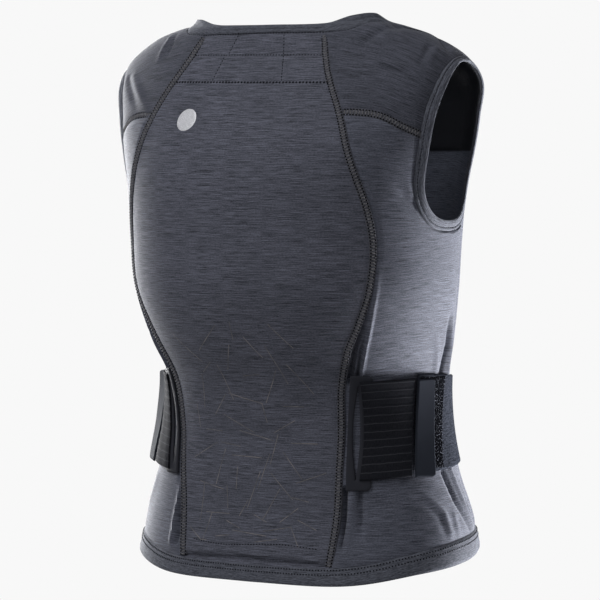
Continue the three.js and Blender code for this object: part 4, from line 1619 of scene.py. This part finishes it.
@dataclass
class SidePanel(SubAssembly):
    """Stretch side panel, with the pleats that the belt draws in above and below it.

    Attributes:
        swell: Height of the cloth's slight swell, and its lengths along the depth, askew and up.
        both: Rows of each pleat on both halves, as for a fold.
        own: Rows of each pleat of one half.
    """

    swell: tuple[float, float, float, float] = (0.35, 15, 31, 23)
    flat: tuple[float, float] = (0.16, 0.37)
    both: tuple[Table, ...] = (
        ((42.6, -258, 2.6, -9), (45.2, -240, 2.6, -8), (48.2, -223, 2.3, -4.6), (51.4, -204, 2, 0)),
        ((44.4, -258, 1, 2), (47.2, -236, 1, 1.6), (49.4, -222, 1, 0)),
        ((46, -258, 1.8, -6), (48.4, -236, 1.7, -4.2), (50.8, -218, 1.5, 0)),
        (
            (47.4, -258, 1.3, 2.2),
            (50, -236, 1.4, 2.2),
            (52.2, -219, 1.6, 1.9),
            (54, -200, 1.9, 1.5),
            (55, -180, 2.4, 1.1),
            (55.2, -160, 2.8, 0.6),
            (54.8, -138, 3.2, 0),
        ),
        ((93.5, -208, 2, 0), (93.8, -232, 2.2, -3.6), (92.4, -258, 2.6, -4.6)),
        ((97, -205, 2.6, 0), (98.4, -232, 2.8, 2.2), (99.3, -258, 2.8, 2.6)),
        ((107, -212, 2.4, 0), (107, -232, 2.6, -2.4), (107, -256, 2.8, -3)),
        ((84.6, -218, 3, 0), (87, -240, 2.8, 1), (88, -258, 2.8, 1.3)),
        ((90.2, -332, 2.4, -4), (94.2, -355, 2.6, -4.4), (100.5, -377, 2.6, -1.4)),
        ((95.8, -330, 2.6, 2), (100.4, -356, 2.8, 2), (105.6, -377, 2.8, 0.5)),
        ((104.6, -352, 2, 0), (105.4, -364, 2, -2), (107, -376, 2, 0)),
        ((59, -109, 4, 0), (64.8, -116.5, 4, -1.6), (70.8, -124.5, 4, -1.6)),
        ((63, -108, 4, 0), (68.6, -114.5, 3.6, 1), (75, -122.5, 3, 0.8)),
    )
    own: BySide[tuple[Table, ...]] = BySide(
        right=(
            ((33.4, -344, 1.8, -7), (30.8, -366, 1.8, -7), (29.2, -390, 1.7, -3)),
            ((36, -344, 2.2, 1.2), (33.6, -366, 2.4, 1.2), (31.8, -390, 2.6, 0)),
            ((39.6, -344, 2.2, -4.6), (38, -364, 2.4, -4), (36.8, -386, 2.8, 0)),
            ((60, -337, 3, 0.2), (68, -345, 3, 1.2), (76, -354, 3, 1.8), (82.5, -363, 3, 1.7), (84.5, -379, 3.2, 0.8)),
            ((63, -346, 3.2, 0), (72, -355, 3.2, -1.1), (78.5, -365, 3.2, -1.4), (80.5, -381, 3.2, -0.4)),
            ((91, -358, 2.8, 0), (90, -372, 2.8, 1.1), (90.5, -382, 2.8, 0.4)),
        ),
        left=(
            ((30.6, -346, 2, -4), (30.3, -370, 2, -6.5), (29.6, -394, 2, -5)),
            ((32.6, -346, 1.8, 0.8), (32.6, -370, 2, 2.4), (32.2, -394, 2, 1.6)),
            ((60, -346, 6, 1), (66, -366, 7, 1), (70, -384, 6, 0)),
        ),
    )

    def build(self, side: Side) -> Piece:
        """Makes one side panel."""
        folds = [Fold(rows) for rows in self.both + self.own.on(side)]

        def relief(points: Array) -> Array:
            """Pleats, and a slight swell of the cloth."""
            y, z = points[..., 1], points[..., 2]
            height, deep, skew, tall = self.swell
            swell = waves(height, y / deep + z / skew, z / tall + side.value)
            return swell + sum(fold.relief(self.form, points) for fold in folds)

        panel = Panel(self.form, (1.6, 1, 0.8, 0.9), (9, 7, 5, 7), grain=0.15)
        wall = panel.wall(self.pattern.side_edges(), relief)
        piece = wall.build(f"side_panel_{side.suffix}_cloth", [SIDE_KNIT, JERSEY_REVERSE], side)
        self.dresser.place(piece, "side_knit", f"side_panel_{side.suffix}")
        return piece


@dataclass
class FrontPanel(SubAssembly):
    """Front half with a thin chest foam, finished plainly."""

    thickness: float = 6
    taper: float = 24
    simulation_density: int = 3
    swell: tuple[float, float, float] = (0.4, 19, 37)
    swell_cap: float = 1.6
    pocket_depth: float = 2.5
    pocket_inset: float = 14
    pocket_edge: float = 3

    def build(self, side: Side) -> Piece:
        """Makes one front panel, whose chest pocket stands out on the inside."""
        panel = Panel(self.form, (1, 1, 1, 1), (8, 8, 8, 8), self.thickness, self.taper, grain=0.2)

        def relief(points: Array) -> Array:
            """A slight swell of the cloth."""
            height, wide, tall = self.swell
            return waves(height, points[..., 0] / wide + side.value, points[..., 2] / tall)

        fine = panel.wall(self.pattern.front_edges(), relief)
        coarse = panel.wall(Pattern(self.form, self.simulation_density).front_edges(), relief)
        wall = swelled(fine, coarse, rim_pins(coarse), Inflation(cap=self.swell_cap))
        inset = eased(np.minimum.reduce(rim_distances(wall.inner)) / self.pocket_inset)
        above = wall.inner[..., 2] - CHEST_LINING.foot
        step = self.pocket_depth * inset * eased(above / self.pocket_edge)
        inner = wall.inner + unit(wall.inner - wall.outer) * step[..., None]
        wall = Wall(wall.outer, inner, wall.uv)
        piece = wall.build(f"front_panel_{side.suffix}_pad", [SIDE_KNIT, CHEST_LINING], side)
        self.dresser.place(piece, "side_knit", f"front_panel_{side.suffix}")
        return piece


@dataclass
class Binding(SubAssembly):
    """Folded knit edge from a seam to a free edge.

    Attributes:
        hem_profile: Share of the width and height of the hem's section, once round from the seam.
        grooved_profile: The same for the armholes, with the groove of a sewn row.
        neck_profile: The same for the neck, flatter.
        neck_lean: Rise of the neck's free edge by angle in degrees, where the collar leans.
        neck_row_and_shadow_line: Share of the width and height at which the neck's row of stitches lies; tight and
            sunk, it also draws the painted shadow line under the binding.
        arm_row: The same for the armholes.
        hem_row: The same for the hem, with half the distance between its two rows.
        arm_flare: Height by which the armhole's back half stands off.
    """

    hem_profile: Table = (
        (-0.01, -2.6), (-0.015, -1.2), (0.02, -0.8), (0.06, -0.15), (0.15, 0.1), (0.45, 0.25),
        (0.8, 0.2), (0.93, -0.1), (1, -0.9), (0.985, -1.8), (0.93, -2.4), (0.75, -2.6),
    )
    grooved_profile: Table = (
        (-0.02, -2.9), (-0.04, -1.6), (0.02, -1.3), (0.08, -0.35), (0.17, 0.05), (0.28, -0.05),
        (0.34, -0.65), (0.4, -0.05), (0.52, 0.25), (0.75, 0.3), (0.92, 0), (0.985, -0.35),
        (1, -0.75), (0.97, -1.15), (0.85, -1.7), (0.7, -2.3),
    )
    neck_profile: Table = (
        (-0.02, -2.9), (-0.04, -1.6), (0, -1), (0.06, -0.2), (0.2, -0.05), (0.36, 0), (0.42, -0.25),
        (0.48, 0), (0.62, 0.05), (0.8, 0.05), (0.95, -0.15), (1, -0.9), (0.98, -1.9), (0.88, -2.6),
        (0.7, -2.9),
    )
    arm_flare: float = 4
    neck_row_and_shadow_line: tuple[float, float] = (-0.02, -0.85)
    arm_row: tuple[float, float] = (0.34, -0.6)
    hem_row: tuple[float, float, float] = (0.24, 0.3, 1.8)
    neck_lean: Table = (
        (-120, 0), (-104, -3), (-90, -3.4), (-76, -1.8), (-60, -0.3), (-42, 1.5), (-20, 0.8),
        (0, 0), (180, 0),
    )

    def rings(self, seam: Array, edge: Array, profile: Table, flare: Array | float = 0) -> Array:
        """Sections along the binding."""
        rings = []
        for share, height in profile:
            places = mix(seam, edge, share)
            rings.append(self.form.raised(places, height + np.broadcast_to(flare, len(seam)) * share))
        return np.stack(rings, axis=1)

    def all_round(self, back: Array, side: Array) -> Array:
        """Angles from the closure's left edge round the back to its right edge."""
        return np.concatenate([-side[::-1], back[1:], side[1:]])

    def neck(self) -> Piece:
        """Binding round the neck."""
        back, side, front = self.pattern.neck_angles
        angles = self.all_round(back, np.concatenate([side, front[::-1][1:]]))
        edge = self.pattern.neck_at(angles, 0)
        edge[:, 1] += lookup(self.neck_lean, np.degrees(angles))
        seam = self.pattern.neck_seam(angles)
        rings = self.rings(seam, edge, self.neck_profile)
        piece = Loft(rings[:, ::-1]).build("neck_binding_knit", EDGE_KNIT)
        # The tight, sunk row of dark stitches at the seam doubles as a painted shadow line under the neck binding.
        share, height = self.neck_row_and_shadow_line
        self.stitching.tops.append(form_path(self.form, mix(seam, edge, share)[3:-3:3], height))
        return self.dresser.place(piece, "edge_knit", "neck_binding")

    def hem(self) -> Piece:
        """Turned hem all round, with its double row of stitches."""
        back, side, front = self.pattern.hem_angles
        angles = self.all_round(back, np.concatenate([side, front[1:]]))
        seam, edge = self.pattern.hem_at(angles), self.pattern.hem_at(angles, True)
        rings = self.rings(seam, edge, self.hem_profile)
        piece = Loft(rings).build("hem_band_knit", EDGE_KNIT)
        share, height, apart = self.hem_row
        path = form_path(self.form, mix(seam, edge, share)[3:-3:3], height)
        self.stitching.hem_rows.extend([path.moved(-apart, 0), path.moved(apart, 0)])
        return self.dresser.place(piece, "edge_knit", "hem_band")

    def arm_line(self, is_inset: bool) -> Array:
        """Places all round the armhole, from the side seam up the back."""
        back = np.concatenate([self.pattern.arm_lower(is_inset), self.pattern.arm_upper(is_inset)[1:]])
        return np.concatenate([back, self.pattern.arm_chest(is_inset)[::-1][1:-1]])

    def armhole(self, side: Side) -> Piece:
        """Binding round one armhole; its back half stands off the arm."""
        seam, edge = self.arm_line(False), self.arm_line(True)
        half = sum(self.pattern.arm_steps[:2]) * self.pattern.density + 1
        turn = np.arange(len(seam)) / half
        flare = self.arm_flare * np.where(turn < 1, np.sin(np.pi * turn), 0) ** 2
        rings = self.rings(seam, edge, self.grooved_profile, flare)
        piece = Loft(rings, True).build(f"armhole_binding_{side.suffix}_knit", EDGE_KNIT, side)
        share, height = self.arm_row
        places = mix(seam, edge, share)
        groove = self.form.raised(places, flare * share + height)
        path = Path(groove[::3], self.form.normals(places)[::3])
        self.stitching.tops.append(path.on(side))
        return self.dresser.place(piece, "edge_knit", f"armhole_binding_{side.suffix}")


@dataclass(frozen=True)
class Station:
    """Edge of a belt layer: angle and height at its top and its bottom."""

    top_angle: float
    bottom_angle: float
    top: float
    bottom: float

    def places(self, up: Array) -> Array:
        """Places at shares of the height."""
        angle = np.radians(mix(self.bottom_angle, self.top_angle, up))
        return paired(angle, mix(self.bottom, self.top, up))


@dataclass
class WaistBelt(SubAssembly):
    """Elastic waist belt on one side: slotted patch, ribbed elastic, rubber tab, pile patch and front tab.

    Attributes:
        slot: Shares of the patch's length and of its height that the slot spans, and its least opening.
        anchor_feet: Share of the patch's height by which its foot is raised.
        corner: Shares of the patch's length and height that a free corner takes.
        anchor_rim: Share of the way from the slot to the patch's edge, and drop of its face there.
        anchor_layer: Heights of the patch's back and face above the cloth.
        strap_layer: The same for the elastic.
        pile_layer: The same for the pile's ground, with the distance over which its rim rounds off.
        wing_layer: The same for the front tab.
        rounding: Share of a layer's thickness that its rim loses.
        rib: Height of the elastic's ribs.
        pucker: Height and length of the elastic's puckers, and the distance over which they fade.
        selvedge: Height that the elastic loses at its edges.
        bow: Share of its length by which the elastic's inner end bows away from the slot.
        tab_rest: Height of the rubber tab's back at its root and its tip.
        tab_round: Distance over which its rim rounds off.
        hover: Height by which the stretched belt stands off the hollow of the waist.
        flare: Turn of the rubber tab's top and bottom off the body, in degrees.
    """

    anchor: tuple[Station, Station] = (Station(42.8, 33.8, -255, -345), Station(53, 45, -255, -345))
    strap: tuple[Station, Station] = (Station(46.5, 40.5, -259.5, -337), Station(73.6, 66.1, -257.5, -334.5))
    tab: Station = Station(74.5, 67.7, -258.5, -335.5)
    pile: tuple[Station, Station] = (Station(77, 71, -258, -329), Station(93, 89, -258, -329))
    wing: tuple[Station, Station] = (Station(76, 70, -255, -333), Station(124, 119, -260, -328))
    slot: tuple[float, float, float, float, float] = (0.22, 0.54, 0.1, 0.9, 0.06)
    anchor_feet: BySide[float] = BySide(0, 0.055)
    corner: tuple[float, float] = (0.25, 0.06)
    anchor_rim: Table = ((0, 0.8), (0.08, 0.25), (0.2, 0), (0.5, 0), (0.8, 0), (0.93, 0.25), (1, 0.8))
    anchor_layer: tuple[float, float] = (1.0, 2.4)
    strap_layer: tuple[float, float] = (2.8, 3.7)
    pile_layer: tuple[float, float, float] = (2.6, 3.6, 1)
    wing_layer: tuple[float, float, float] = (1.0, 2.5, 1.6)
    ribs: int = 12
    rounding: float = 0.75
    rib: float = 0.35
    pucker: tuple[float, float, float] = (0.25, 3.1, 24)
    selvedge: float = 0.8
    bow: float = 0.09
    tab_length: float = 17.4
    tab_corner: float = 3
    tab_height: float = 77
    tab_thickness: float = 1.9
    tab_rest: tuple[float, float] = (4.1, 4.3)
    tab_round: float = 0.6
    hover: float = 2.2
    wing_flat: tuple[float, float] = (0.084, 0.073)
    flare: BySide[tuple[float, float]] = BySide((-2, -2), (42, 14))

    def between(self, stations: tuple[Station, Station], along: Array, up: Array) -> Array:
        """Places between two stations at shares along the girth and up the height."""
        start, end = stations
        return mix(start.places(up), end.places(up), np.asarray(along)[..., None])

    def layer(
        self, stations: tuple[Station, Station], size: tuple[int, int], heights: tuple[float, float, float]
    ) -> Wall:
        """Flat layer with rounded edges.

        Args:
            stations: Its two ends.
            size: Steps along and up.
            heights: Heights of its back and face above the cloth, and the distance over which its rim rounds off.

        Returns:
            The layer's wall.
        """
        low, high, edge = heights
        places = self.between(stations, *shares(*size))
        reach = rim_distances(self.form.points(places))
        short = 1 - np.clip(np.minimum.reduce(reach) / edge, 0, 1)
        fall = (high - low) * self.rounding * (1 - np.sqrt(1 - short**2))
        outer = self.form.raised(places, high - fall)
        return Wall(outer, self.form.raised(places, low), paired(reach[0], reach[2]) * MM)

    def anchor_patch(self, side: Side) -> Piece:
        """Laminated patch with a tall slot and rounded free corners."""
        first, last, bottom, top, tip = self.slot
        heights = (1 - np.cos(np.pi * np.linspace(0, 1, 61))) / 2
        middle, half = (first + last) / 2, (last - first) / 2
        lens = half * np.maximum(np.sin(np.pi * heights), tip)
        level = mix(bottom, top, heights)
        short = np.maximum(1 - np.minimum(heights, 1 - heights) / self.corner[1], 0)
        free = 1 - self.corner[0] * (1 - np.sqrt(1 - short**2))
        right = (middle + lens, level, free, heights)
        left = (middle - lens, level, np.zeros_like(heights), heights)
        share, drop = np.array(self.anchor_rim).T[:, None, :]
        grids = []
        for slot_along, slot_up, edge_along, edge_up in (right, left):
            along = mix(slot_along[:, None], edge_along[:, None], share)
            up = mix(slot_up[:, None], edge_up[:, None], share)
            grids.append(self.between(self.anchor, along, mix(self.anchor_feet.on(side), 1, up)))
        places = np.concatenate([grids[0], grids[1][::-1]])
        low, high = self.anchor_layer
        outer = self.form.raised(places, high - drop)
        inner = self.form.raised(places, low)
        uv = paired(np.degrees(places[..., 0]), places[..., 1]) * MM
        piece = Wall(outer, inner, uv, True).build(f"belt_anchor_{side.suffix}_patch", [LAMINATE], side)
        return self.dresser.place(piece, "belt_elastic", f"belt_anchor_{side.suffix}")

    def strap_band(self, side: Side) -> Piece:
        """Ribbed elastic, puckered near the slot; its inner end bows away from it."""
        steps = 160
        along, up = shares(40, steps)
        places = self.between(self.strap, mix(self.bow * arch(up), 1, along), up)
        across, _, height, _ = rim_distances(self.form.points(places))
        rib = self.rib * np.abs(np.sin(np.pi * self.ribs * up)) ** 0.6
        rim = np.minimum(np.minimum(up, 1 - up) * steps, 2) / 2
        ripple, length, fade = self.pucker
        pucker = ripple * np.sin(across / length) * (1 - eased(across / fade))
        lift = self.hover * arch(up) * eased(along)
        low, high = self.strap_layer
        outer = self.form.raised(places, lift + high + rib + pucker - self.selvedge * (1 - np.sqrt(rim)))
        wall = Wall(outer, self.form.raised(places, lift + low), paired(across, height) * MM)
        piece = wall.build(f"belt_strap_{side.suffix}_elastic", [ELASTIC], side)
        return self.dresser.place(piece, "belt_elastic", f"belt_strap_{side.suffix}")

    def pull_tab(self, side: Side) -> Piece:
        """Rubber end of the elastic, nearly flush with it at the root."""
        length, height, corner = self.tab_length, self.tab_height, self.tab_corner
        along, up = shares(42, 100)
        level = up * height
        near = np.minimum(level, height - level)
        short = np.maximum(corner - near, 0)
        far = length - corner + np.sqrt(np.maximum(corner**2 - short**2, 0))
        reach = along * far
        rim = np.minimum.reduce([reach, far - reach, near])
        rest = mix(*self.tab_rest, reach / length) + self.hover * arch(up)
        edge = self.tab_round
        rise = rest + self.tab_thickness - edge * (1 - np.sqrt(np.clip(rim / edge, 0, 1)))
        places = self.tab.places(up)
        away, out = self.form.girth(places), self.form.normals(places)
        top, bottom = self.flare.on(side)
        turned = np.radians(mix(bottom, top, up))
        base = self.form.points(places)

        def grid(lift: Array) -> Array:
            """Points of the tab at heights above the cloth."""
            sideways = reach * np.cos(turned) - lift * np.sin(turned)
            outward = reach * np.sin(turned) + lift * np.cos(turned)
            return base + away * sideways[..., None] + out * outward[..., None]

        wall = Wall(grid(rise), grid(rest), paired(reach, level) * MM)
        piece = wall.build(f"pull_tab_{side.suffix}_rubber", [RUBBER], side)
        return self.dresser.place(piece, "tab_rubber", f"pull_tab_{side.suffix}")

    def build(self, side: Side) -> None:
        """Makes all pieces of one side's belt."""
        self.anchor_patch(side)
        self.strap_band(side)
        self.pull_tab(side)
        ground = self.layer(self.pile, (30, 60), self.pile_layer)
        base = ground.build(f"loop_patch_{side.suffix}_ground", [PILE_GROUND], side)
        self.dresser.place(base, "loop_pile", f"loop_patch_{side.suffix}")
        nap = PileTree().cover(ground, side, f"loop_patch_{side.suffix}_nap")
        self.dresser.place(nap, "loop_pile")
        wing = self.layer(self.wing, (90, 90), self.wing_layer)
        piece = wing.build(f"front_tab_{side.suffix}_cloth", [TAB_KNIT], side)
        self.dresser.place(piece, "side_knit", f"front_tab_{side.suffix}")


@dataclass(frozen=True)
class PileTree(GrowthTree):
    """Geometry Nodes that scatter curled fibres over the pile patch.

    Attributes:
        spacing: Least distance between fibres in millimetres.
        density: Fibres tried on a square metre.
        fibre: Length, width and height of a fibre in millimetres.
        tilts: Least and most turn of a fibre about each of its axes.
        seed: Number that its random draws start from.
    """

    name: str = "pile_fibres"
    inputs: tuple[tuple[str, str], ...] = (("Spacing", "Float"), ("Fibre", "Vector"))
    spacing: float = 2.0
    density: float = 900000
    fibre: tuple[float, float, float] = (3.4, 0.85, 0.85)
    tilts: Table = ((-0.5, -0.9, -math.pi), (0.5, 0.2, math.pi))
    seed: int = 11

    def wired(self, tree: Tree, given: Mapping[str, Socket]) -> dict[str, Socket]:
        """Fibres at scattered points of the faces, turned at random."""
        room = {"Distance Min": given["Spacing"], "Density Max": self.density, "Seed": self.seed}
        spread = {"Mesh": given["Source"], **room}
        spots = add_node(tree, "GeometryNodeDistributePointsOnFaces", spread, distribute_method="POISSON").outputs
        turns = {"Min": self.tilts[0], "Max": self.tilts[1], "Seed": self.seed + 1}
        tilt = add_node(tree, "FunctionNodeRandomValue", turns, data_type="FLOAT_VECTOR").outputs[0]
        fibre = add_node(tree, "GeometryNodeMeshIcoSphere", {"Radius": 0.5, "Subdivisions": 1}).outputs[0]
        smooth = add_node(tree, "GeometryNodeSetShadeSmooth", {"Geometry": fibre}).outputs[0]
        rotation = turned_by(tree, spots["Rotation"], tilt)
        return {"Points": spots[0], "Instance": smooth, "Rotation": rotation, "Scale": given["Fibre"]}

    def cover(self, ground: Wall, side: Side, name: str) -> Piece:
        """Grows the pile over the face of a patch."""
        points, uv = ground.outer.reshape(-1, 3), ground.uv.reshape(-1, 2)
        face = mesh_object(f"{name}_face", points, ground.outside().tolist(), uv, [PILE], side)
        values = {"Spacing": self.spacing * MM, "Fibre": Vector(self.fibre) * MM}
        return self.grow(face, values, PILE, name)


@dataclass
class FrontClosure(SubAssembly):
    """Plain closure down the middle of the front: one tape and a row of moulded teeth."""

    half_width: float = 6.6
    dip: float = 1
    teeth: RowSize = RowSize(2.4, 1.5, 5.2, 1.9)

    def build(self) -> None:
        """Makes the tape and its teeth."""
        foot, head = self.pattern.hem[-1][1], self.pattern.neck[-1][1]
        z = np.linspace(foot, head, 181)
        path = form_path(self.form, self.form.across(np.zeros(len(z)), z, False), -self.dip)
        wide = self.half_width
        profile = [(-wide, -2.2), (-wide, 0), (-3, 0.1), (0, 0.5), (3, 0.1), (wide, 0), (wide, -2.2)]
        tape = path.band(profile).build("front_zip_tape", ZIP_PLASTIC)
        self.dresser.place(tape, "zip_tape", "front_zip")
        line = path.moved(0, 0.8)
        grow_row("front_zip_teeth", [line], self.teeth, ZIP_PLASTIC, Shape.BLOCK, self.dresser, "zip_tape")


@dataclass
class BackMotifs(SubAssembly):
    """Plain reflective disc at the shoulder blade, and faint strokes scattered over the lower back.

    Attributes:
        disc_place: Angle in degrees and height of the disc's middle.
        disc_rings: Share of the radius and height above the cloth of each ring.
        middles: Left, right, lower and upper limit of the strokes' middles.
        limits: Distance from the middle plane, and least and most height, that no stroke passes.
        crowding: Power by which the strokes crowd toward the hem.
        seed: Number that the random draws start from.
    """

    disc_place: tuple[float, float] = (-14.5, -58)
    disc_radius: float = 9.5
    strokes: int = 52
    stroke_lengths: tuple[float, float] = (12, 34)
    stroke: RowSize = RowSize(0.9, 1.0, 0.6, 0.16)
    disc_rings: Table = ((0.02, 0.22), (0.4, 0.22), (0.8, 0.22), (0.98, 0.2), (1, 0.1), (1, -0.4))
    middles: tuple[float, float, float, float] = (-55, 55, -388, -218)
    limits: tuple[float, float, float] = (64, -390, -205)
    crowding: float = 1.35
    seed: int = 5

    def disc(self, skin: Skin) -> Piece:
        """Thin disc laid on the back."""
        centre = np.array([math.radians(self.disc_place[0]), self.disc_place[1]])
        point = self.form.points(centre)
        out = self.form.normals(centre)
        right = self.form.girth(centre)
        up = np.cross(out, right)
        turns = np.linspace(0, 2 * np.pi, 73)[:-1]
        rings = []
        circle = right * np.cos(turns)[:, None] + up * np.sin(turns)[:, None]
        for share, lift in self.disc_rings:
            flat = Path(point + circle * self.disc_radius * share, np.broadcast_to(out, (len(turns), 3)))
            rings.append(skin.laid(flat, lift).points)
        piece = Loft(np.stack(rings)).build("reflective_disc", FILM)
        return self.dresser.place(piece, "back_knit")

    def stroke_lines(self, skin: Skin) -> list[Path]:
        """Short straight lines in all directions, denser toward the hem."""
        rng = np.random.default_rng(self.seed)
        lines = []
        left, right, low, high = self.middles
        side, foot, head = self.limits
        for number in range(self.strokes):
            x = mix(left, right, number * GOLDEN_SHARE % 1)
            z = mix(low, high, ((number + rng.uniform()) / self.strokes) ** self.crowding)
            turn = rng.uniform(0, np.pi)
            half = rng.uniform(*self.stroke_lengths) / 2
            t = np.linspace(-half, half, 14)
            across = np.clip(x + t * np.cos(turn), -side, side)
            places = self.form.across(across, np.clip(z + t * np.sin(turn), foot, head))
            lines.append(skin.laid(form_path(self.form, places), 0.02))
        return lines

    def build(self, back: Piece) -> None:
        """Lays both motifs on the back panel."""
        skin = Skin(back)
        self.disc(skin)
        grow_row("tonal_strokes", self.stroke_lines(skin), self.stroke, STROKE, Shape.BLOCK, self.dresser, "back_knit")


@dataclass(frozen=True)
class SoftBox:
    """Large soft light: its place to the camera's right, toward the camera and up, in metres, with size and power."""

    name: str
    right: float
    toward: float
    height: float
    size: tuple[float, float]
    power: float


@dataclass
class Studio:
    """The photograph's camera, soft lights behind the vest and a weak one before it, and a pale wall and floor.

    Attributes:
        fill: Brightness of the room beside the wall, as a share of the wall's.
        beam: Angle over which the lights spread, in degrees.
        wall: Cosines off the view between which the room turns into the wall.
        floor_lit: Distances behind the vest between which the floor becomes as bright as the wall, in metres.
    """

    azimuth: float = 34
    distance: float = 2.6
    eye_height: float = -0.092
    target_height: float = -0.201
    lens: float = 195.2
    sensor: float = 36
    shift: float = -0.0025
    farthest: float = 50
    floor_height: float = -1.6
    floor_reach: float = 30
    pale: str = "#f8f8f8"
    floor_color: str = "#b8b8b8"
    fill: float = 0.39
    beam: float = 120
    wall: tuple[float, float] = (0.8, 0.95)
    floor_lit: tuple[float, float] = (0.5, 1.1)
    boxes: tuple[SoftBox, ...] = (
        SoftBox("light_right", 1.32, -0.46, -0.85, (0.9, 0.8), 51),
        SoftBox("light_left", -0.84, -1.18, 0.2, (0.6, 1.0), 29),
        SoftBox("light_front", -1.3, 0.9, 1.6, (1.2, 1.6), 12),
    )

    @property
    def right(self) -> Vector:
        """Direction to the camera's right."""
        turn = math.radians(self.azimuth)
        return Vector((math.cos(turn), math.sin(turn), 0))

    @property
    def toward(self) -> Vector:
        """Level direction toward the camera."""
        turn = math.radians(self.azimuth)
        return Vector((math.sin(turn), -math.cos(turn), 0))

    def aim(self, name: str, data: bpy.types.ID, place: Vector) -> Piece:
        """Puts a camera or light at a place, looking at the vest."""
        piece = linked(name, data)
        piece.location = place
        target = Vector((0, 0, self.target_height))
        piece.rotation_euler = (target - place).to_track_quat("-Z", "Y").to_euler()
        return piece

    def camera(self) -> None:
        """Sets the camera."""
        data = bpy.data.cameras.new("camera")
        data.lens = self.lens
        data.sensor_width = self.sensor
        data.shift_x = self.shift
        data.clip_end = self.farthest
        eye = self.toward * self.distance + Vector((0, 0, self.eye_height))
        bpy.context.scene.camera = self.aim("camera", data, eye)

    def lights(self) -> None:
        """Sets the soft lights."""
        for box in self.boxes:
            data = bpy.data.lights.new(box.name, "AREA")
            data.shape = "RECTANGLE"
            data.size, data.size_y = box.size
            data.energy = box.power
            data.spread = math.radians(self.beam)
            centre = Vector((0, 0, self.target_height))
            level = centre + self.right * box.right + self.toward * box.toward
            self.aim(box.name, data, level + Vector((0, 0, box.height)))

    def behind(self, tree: Tree, place: Socket, limits: tuple[float, float]) -> Socket:
        """Share that rises from 0 to 1 between two limits away from the camera."""
        inputs = {0: place, 1: tuple(-self.toward)}
        far = add_node(tree, "ShaderNodeVectorMath", inputs, operation="DOT_PRODUCT").outputs["Value"]
        return stretched(tree, far, *limits)

    def room(self) -> None:
        """Sets the room: dim even light all round, and a lit pale wall behind the vest."""
        world = bpy.data.worlds.new("room")
        tree = cleared(world)
        look = add_node(tree, "ShaderNodeTexCoord").outputs["Generated"]
        dim = tuple(self.fill * part for part in linear(self.pale)[:3]) + (1.0,)
        color = blended(tree, self.behind(tree, look, self.wall), dim, linear(self.pale))
        light = add_node(tree, "ShaderNodeBackground", {"Color": color})
        add_node(tree, "ShaderNodeOutputWorld", {"Surface": light.outputs[0]})
        bpy.context.scene.world = world
        bpy.context.scene.view_settings.view_transform = "Standard"

    def floor(self) -> None:
        """Lays the floor; behind the vest it is lit like the wall, so that the two run into each other."""
        far = self.floor_reach
        corners = [(-far, -far), (far, -far), (far, far), (-far, far)]
        mesh = bpy.data.meshes.new("studio_floor")
        mesh.from_pydata([(x, y, self.floor_height) for x, y in corners], [], [(0, 1, 2, 3)])
        material = bpy.data.materials.new("pale_floor")
        tree = cleared(material)
        share = self.behind(tree, object_place(tree), self.floor_lit)
        plain = add_node(tree, "ShaderNodeBsdfDiffuse", {"Color": linear(self.floor_color)}).outputs[0]
        lit = add_node(tree, "ShaderNodeEmission", {"Color": linear(self.pale)}).outputs[0]
        surface = add_node(tree, "ShaderNodeMixShader", {0: share, 1: plain, 2: lit}).outputs[0]
        add_node(tree, "ShaderNodeOutputMaterial", {"Surface": surface})
        mesh.materials.append(material)
        floor = linked("studio_floor", mesh)

    def build(self) -> None:
        """Sets up the whole studio."""
        self.camera()
        self.lights()
        self.room()
        self.floor()


def main() -> None:
    """Builds the vest's pieces in order, then the studio."""
    logging.basicConfig(level=logging.INFO, format="%(name)s: %(message)s")
    dresser, stitching = Dresser(), Stitching()
    shared = (Pattern(BodyForm()), dresser, stitching)
    back = BackPanel(*shared).build()
    binding = Binding(*shared)
    yoke, side_panel, front = ShoulderYoke(*shared), SidePanel(*shared), FrontPanel(*shared)
    belt = WaistBelt(*shared)
    for side in Side:
        yoke.build(side)
        side_panel.build(side)
        front.build(side)
        binding.armhole(side)
        belt.build(side)
    binding.neck()
    binding.hem()
    FrontClosure(*shared).build()
    BackMotifs(*shared).build(back)
    stitching.build(dresser)
    Studio().build()
    LOG.info("%d pieces in all", dresser.count)


if __name__ == "__main__":
    main()
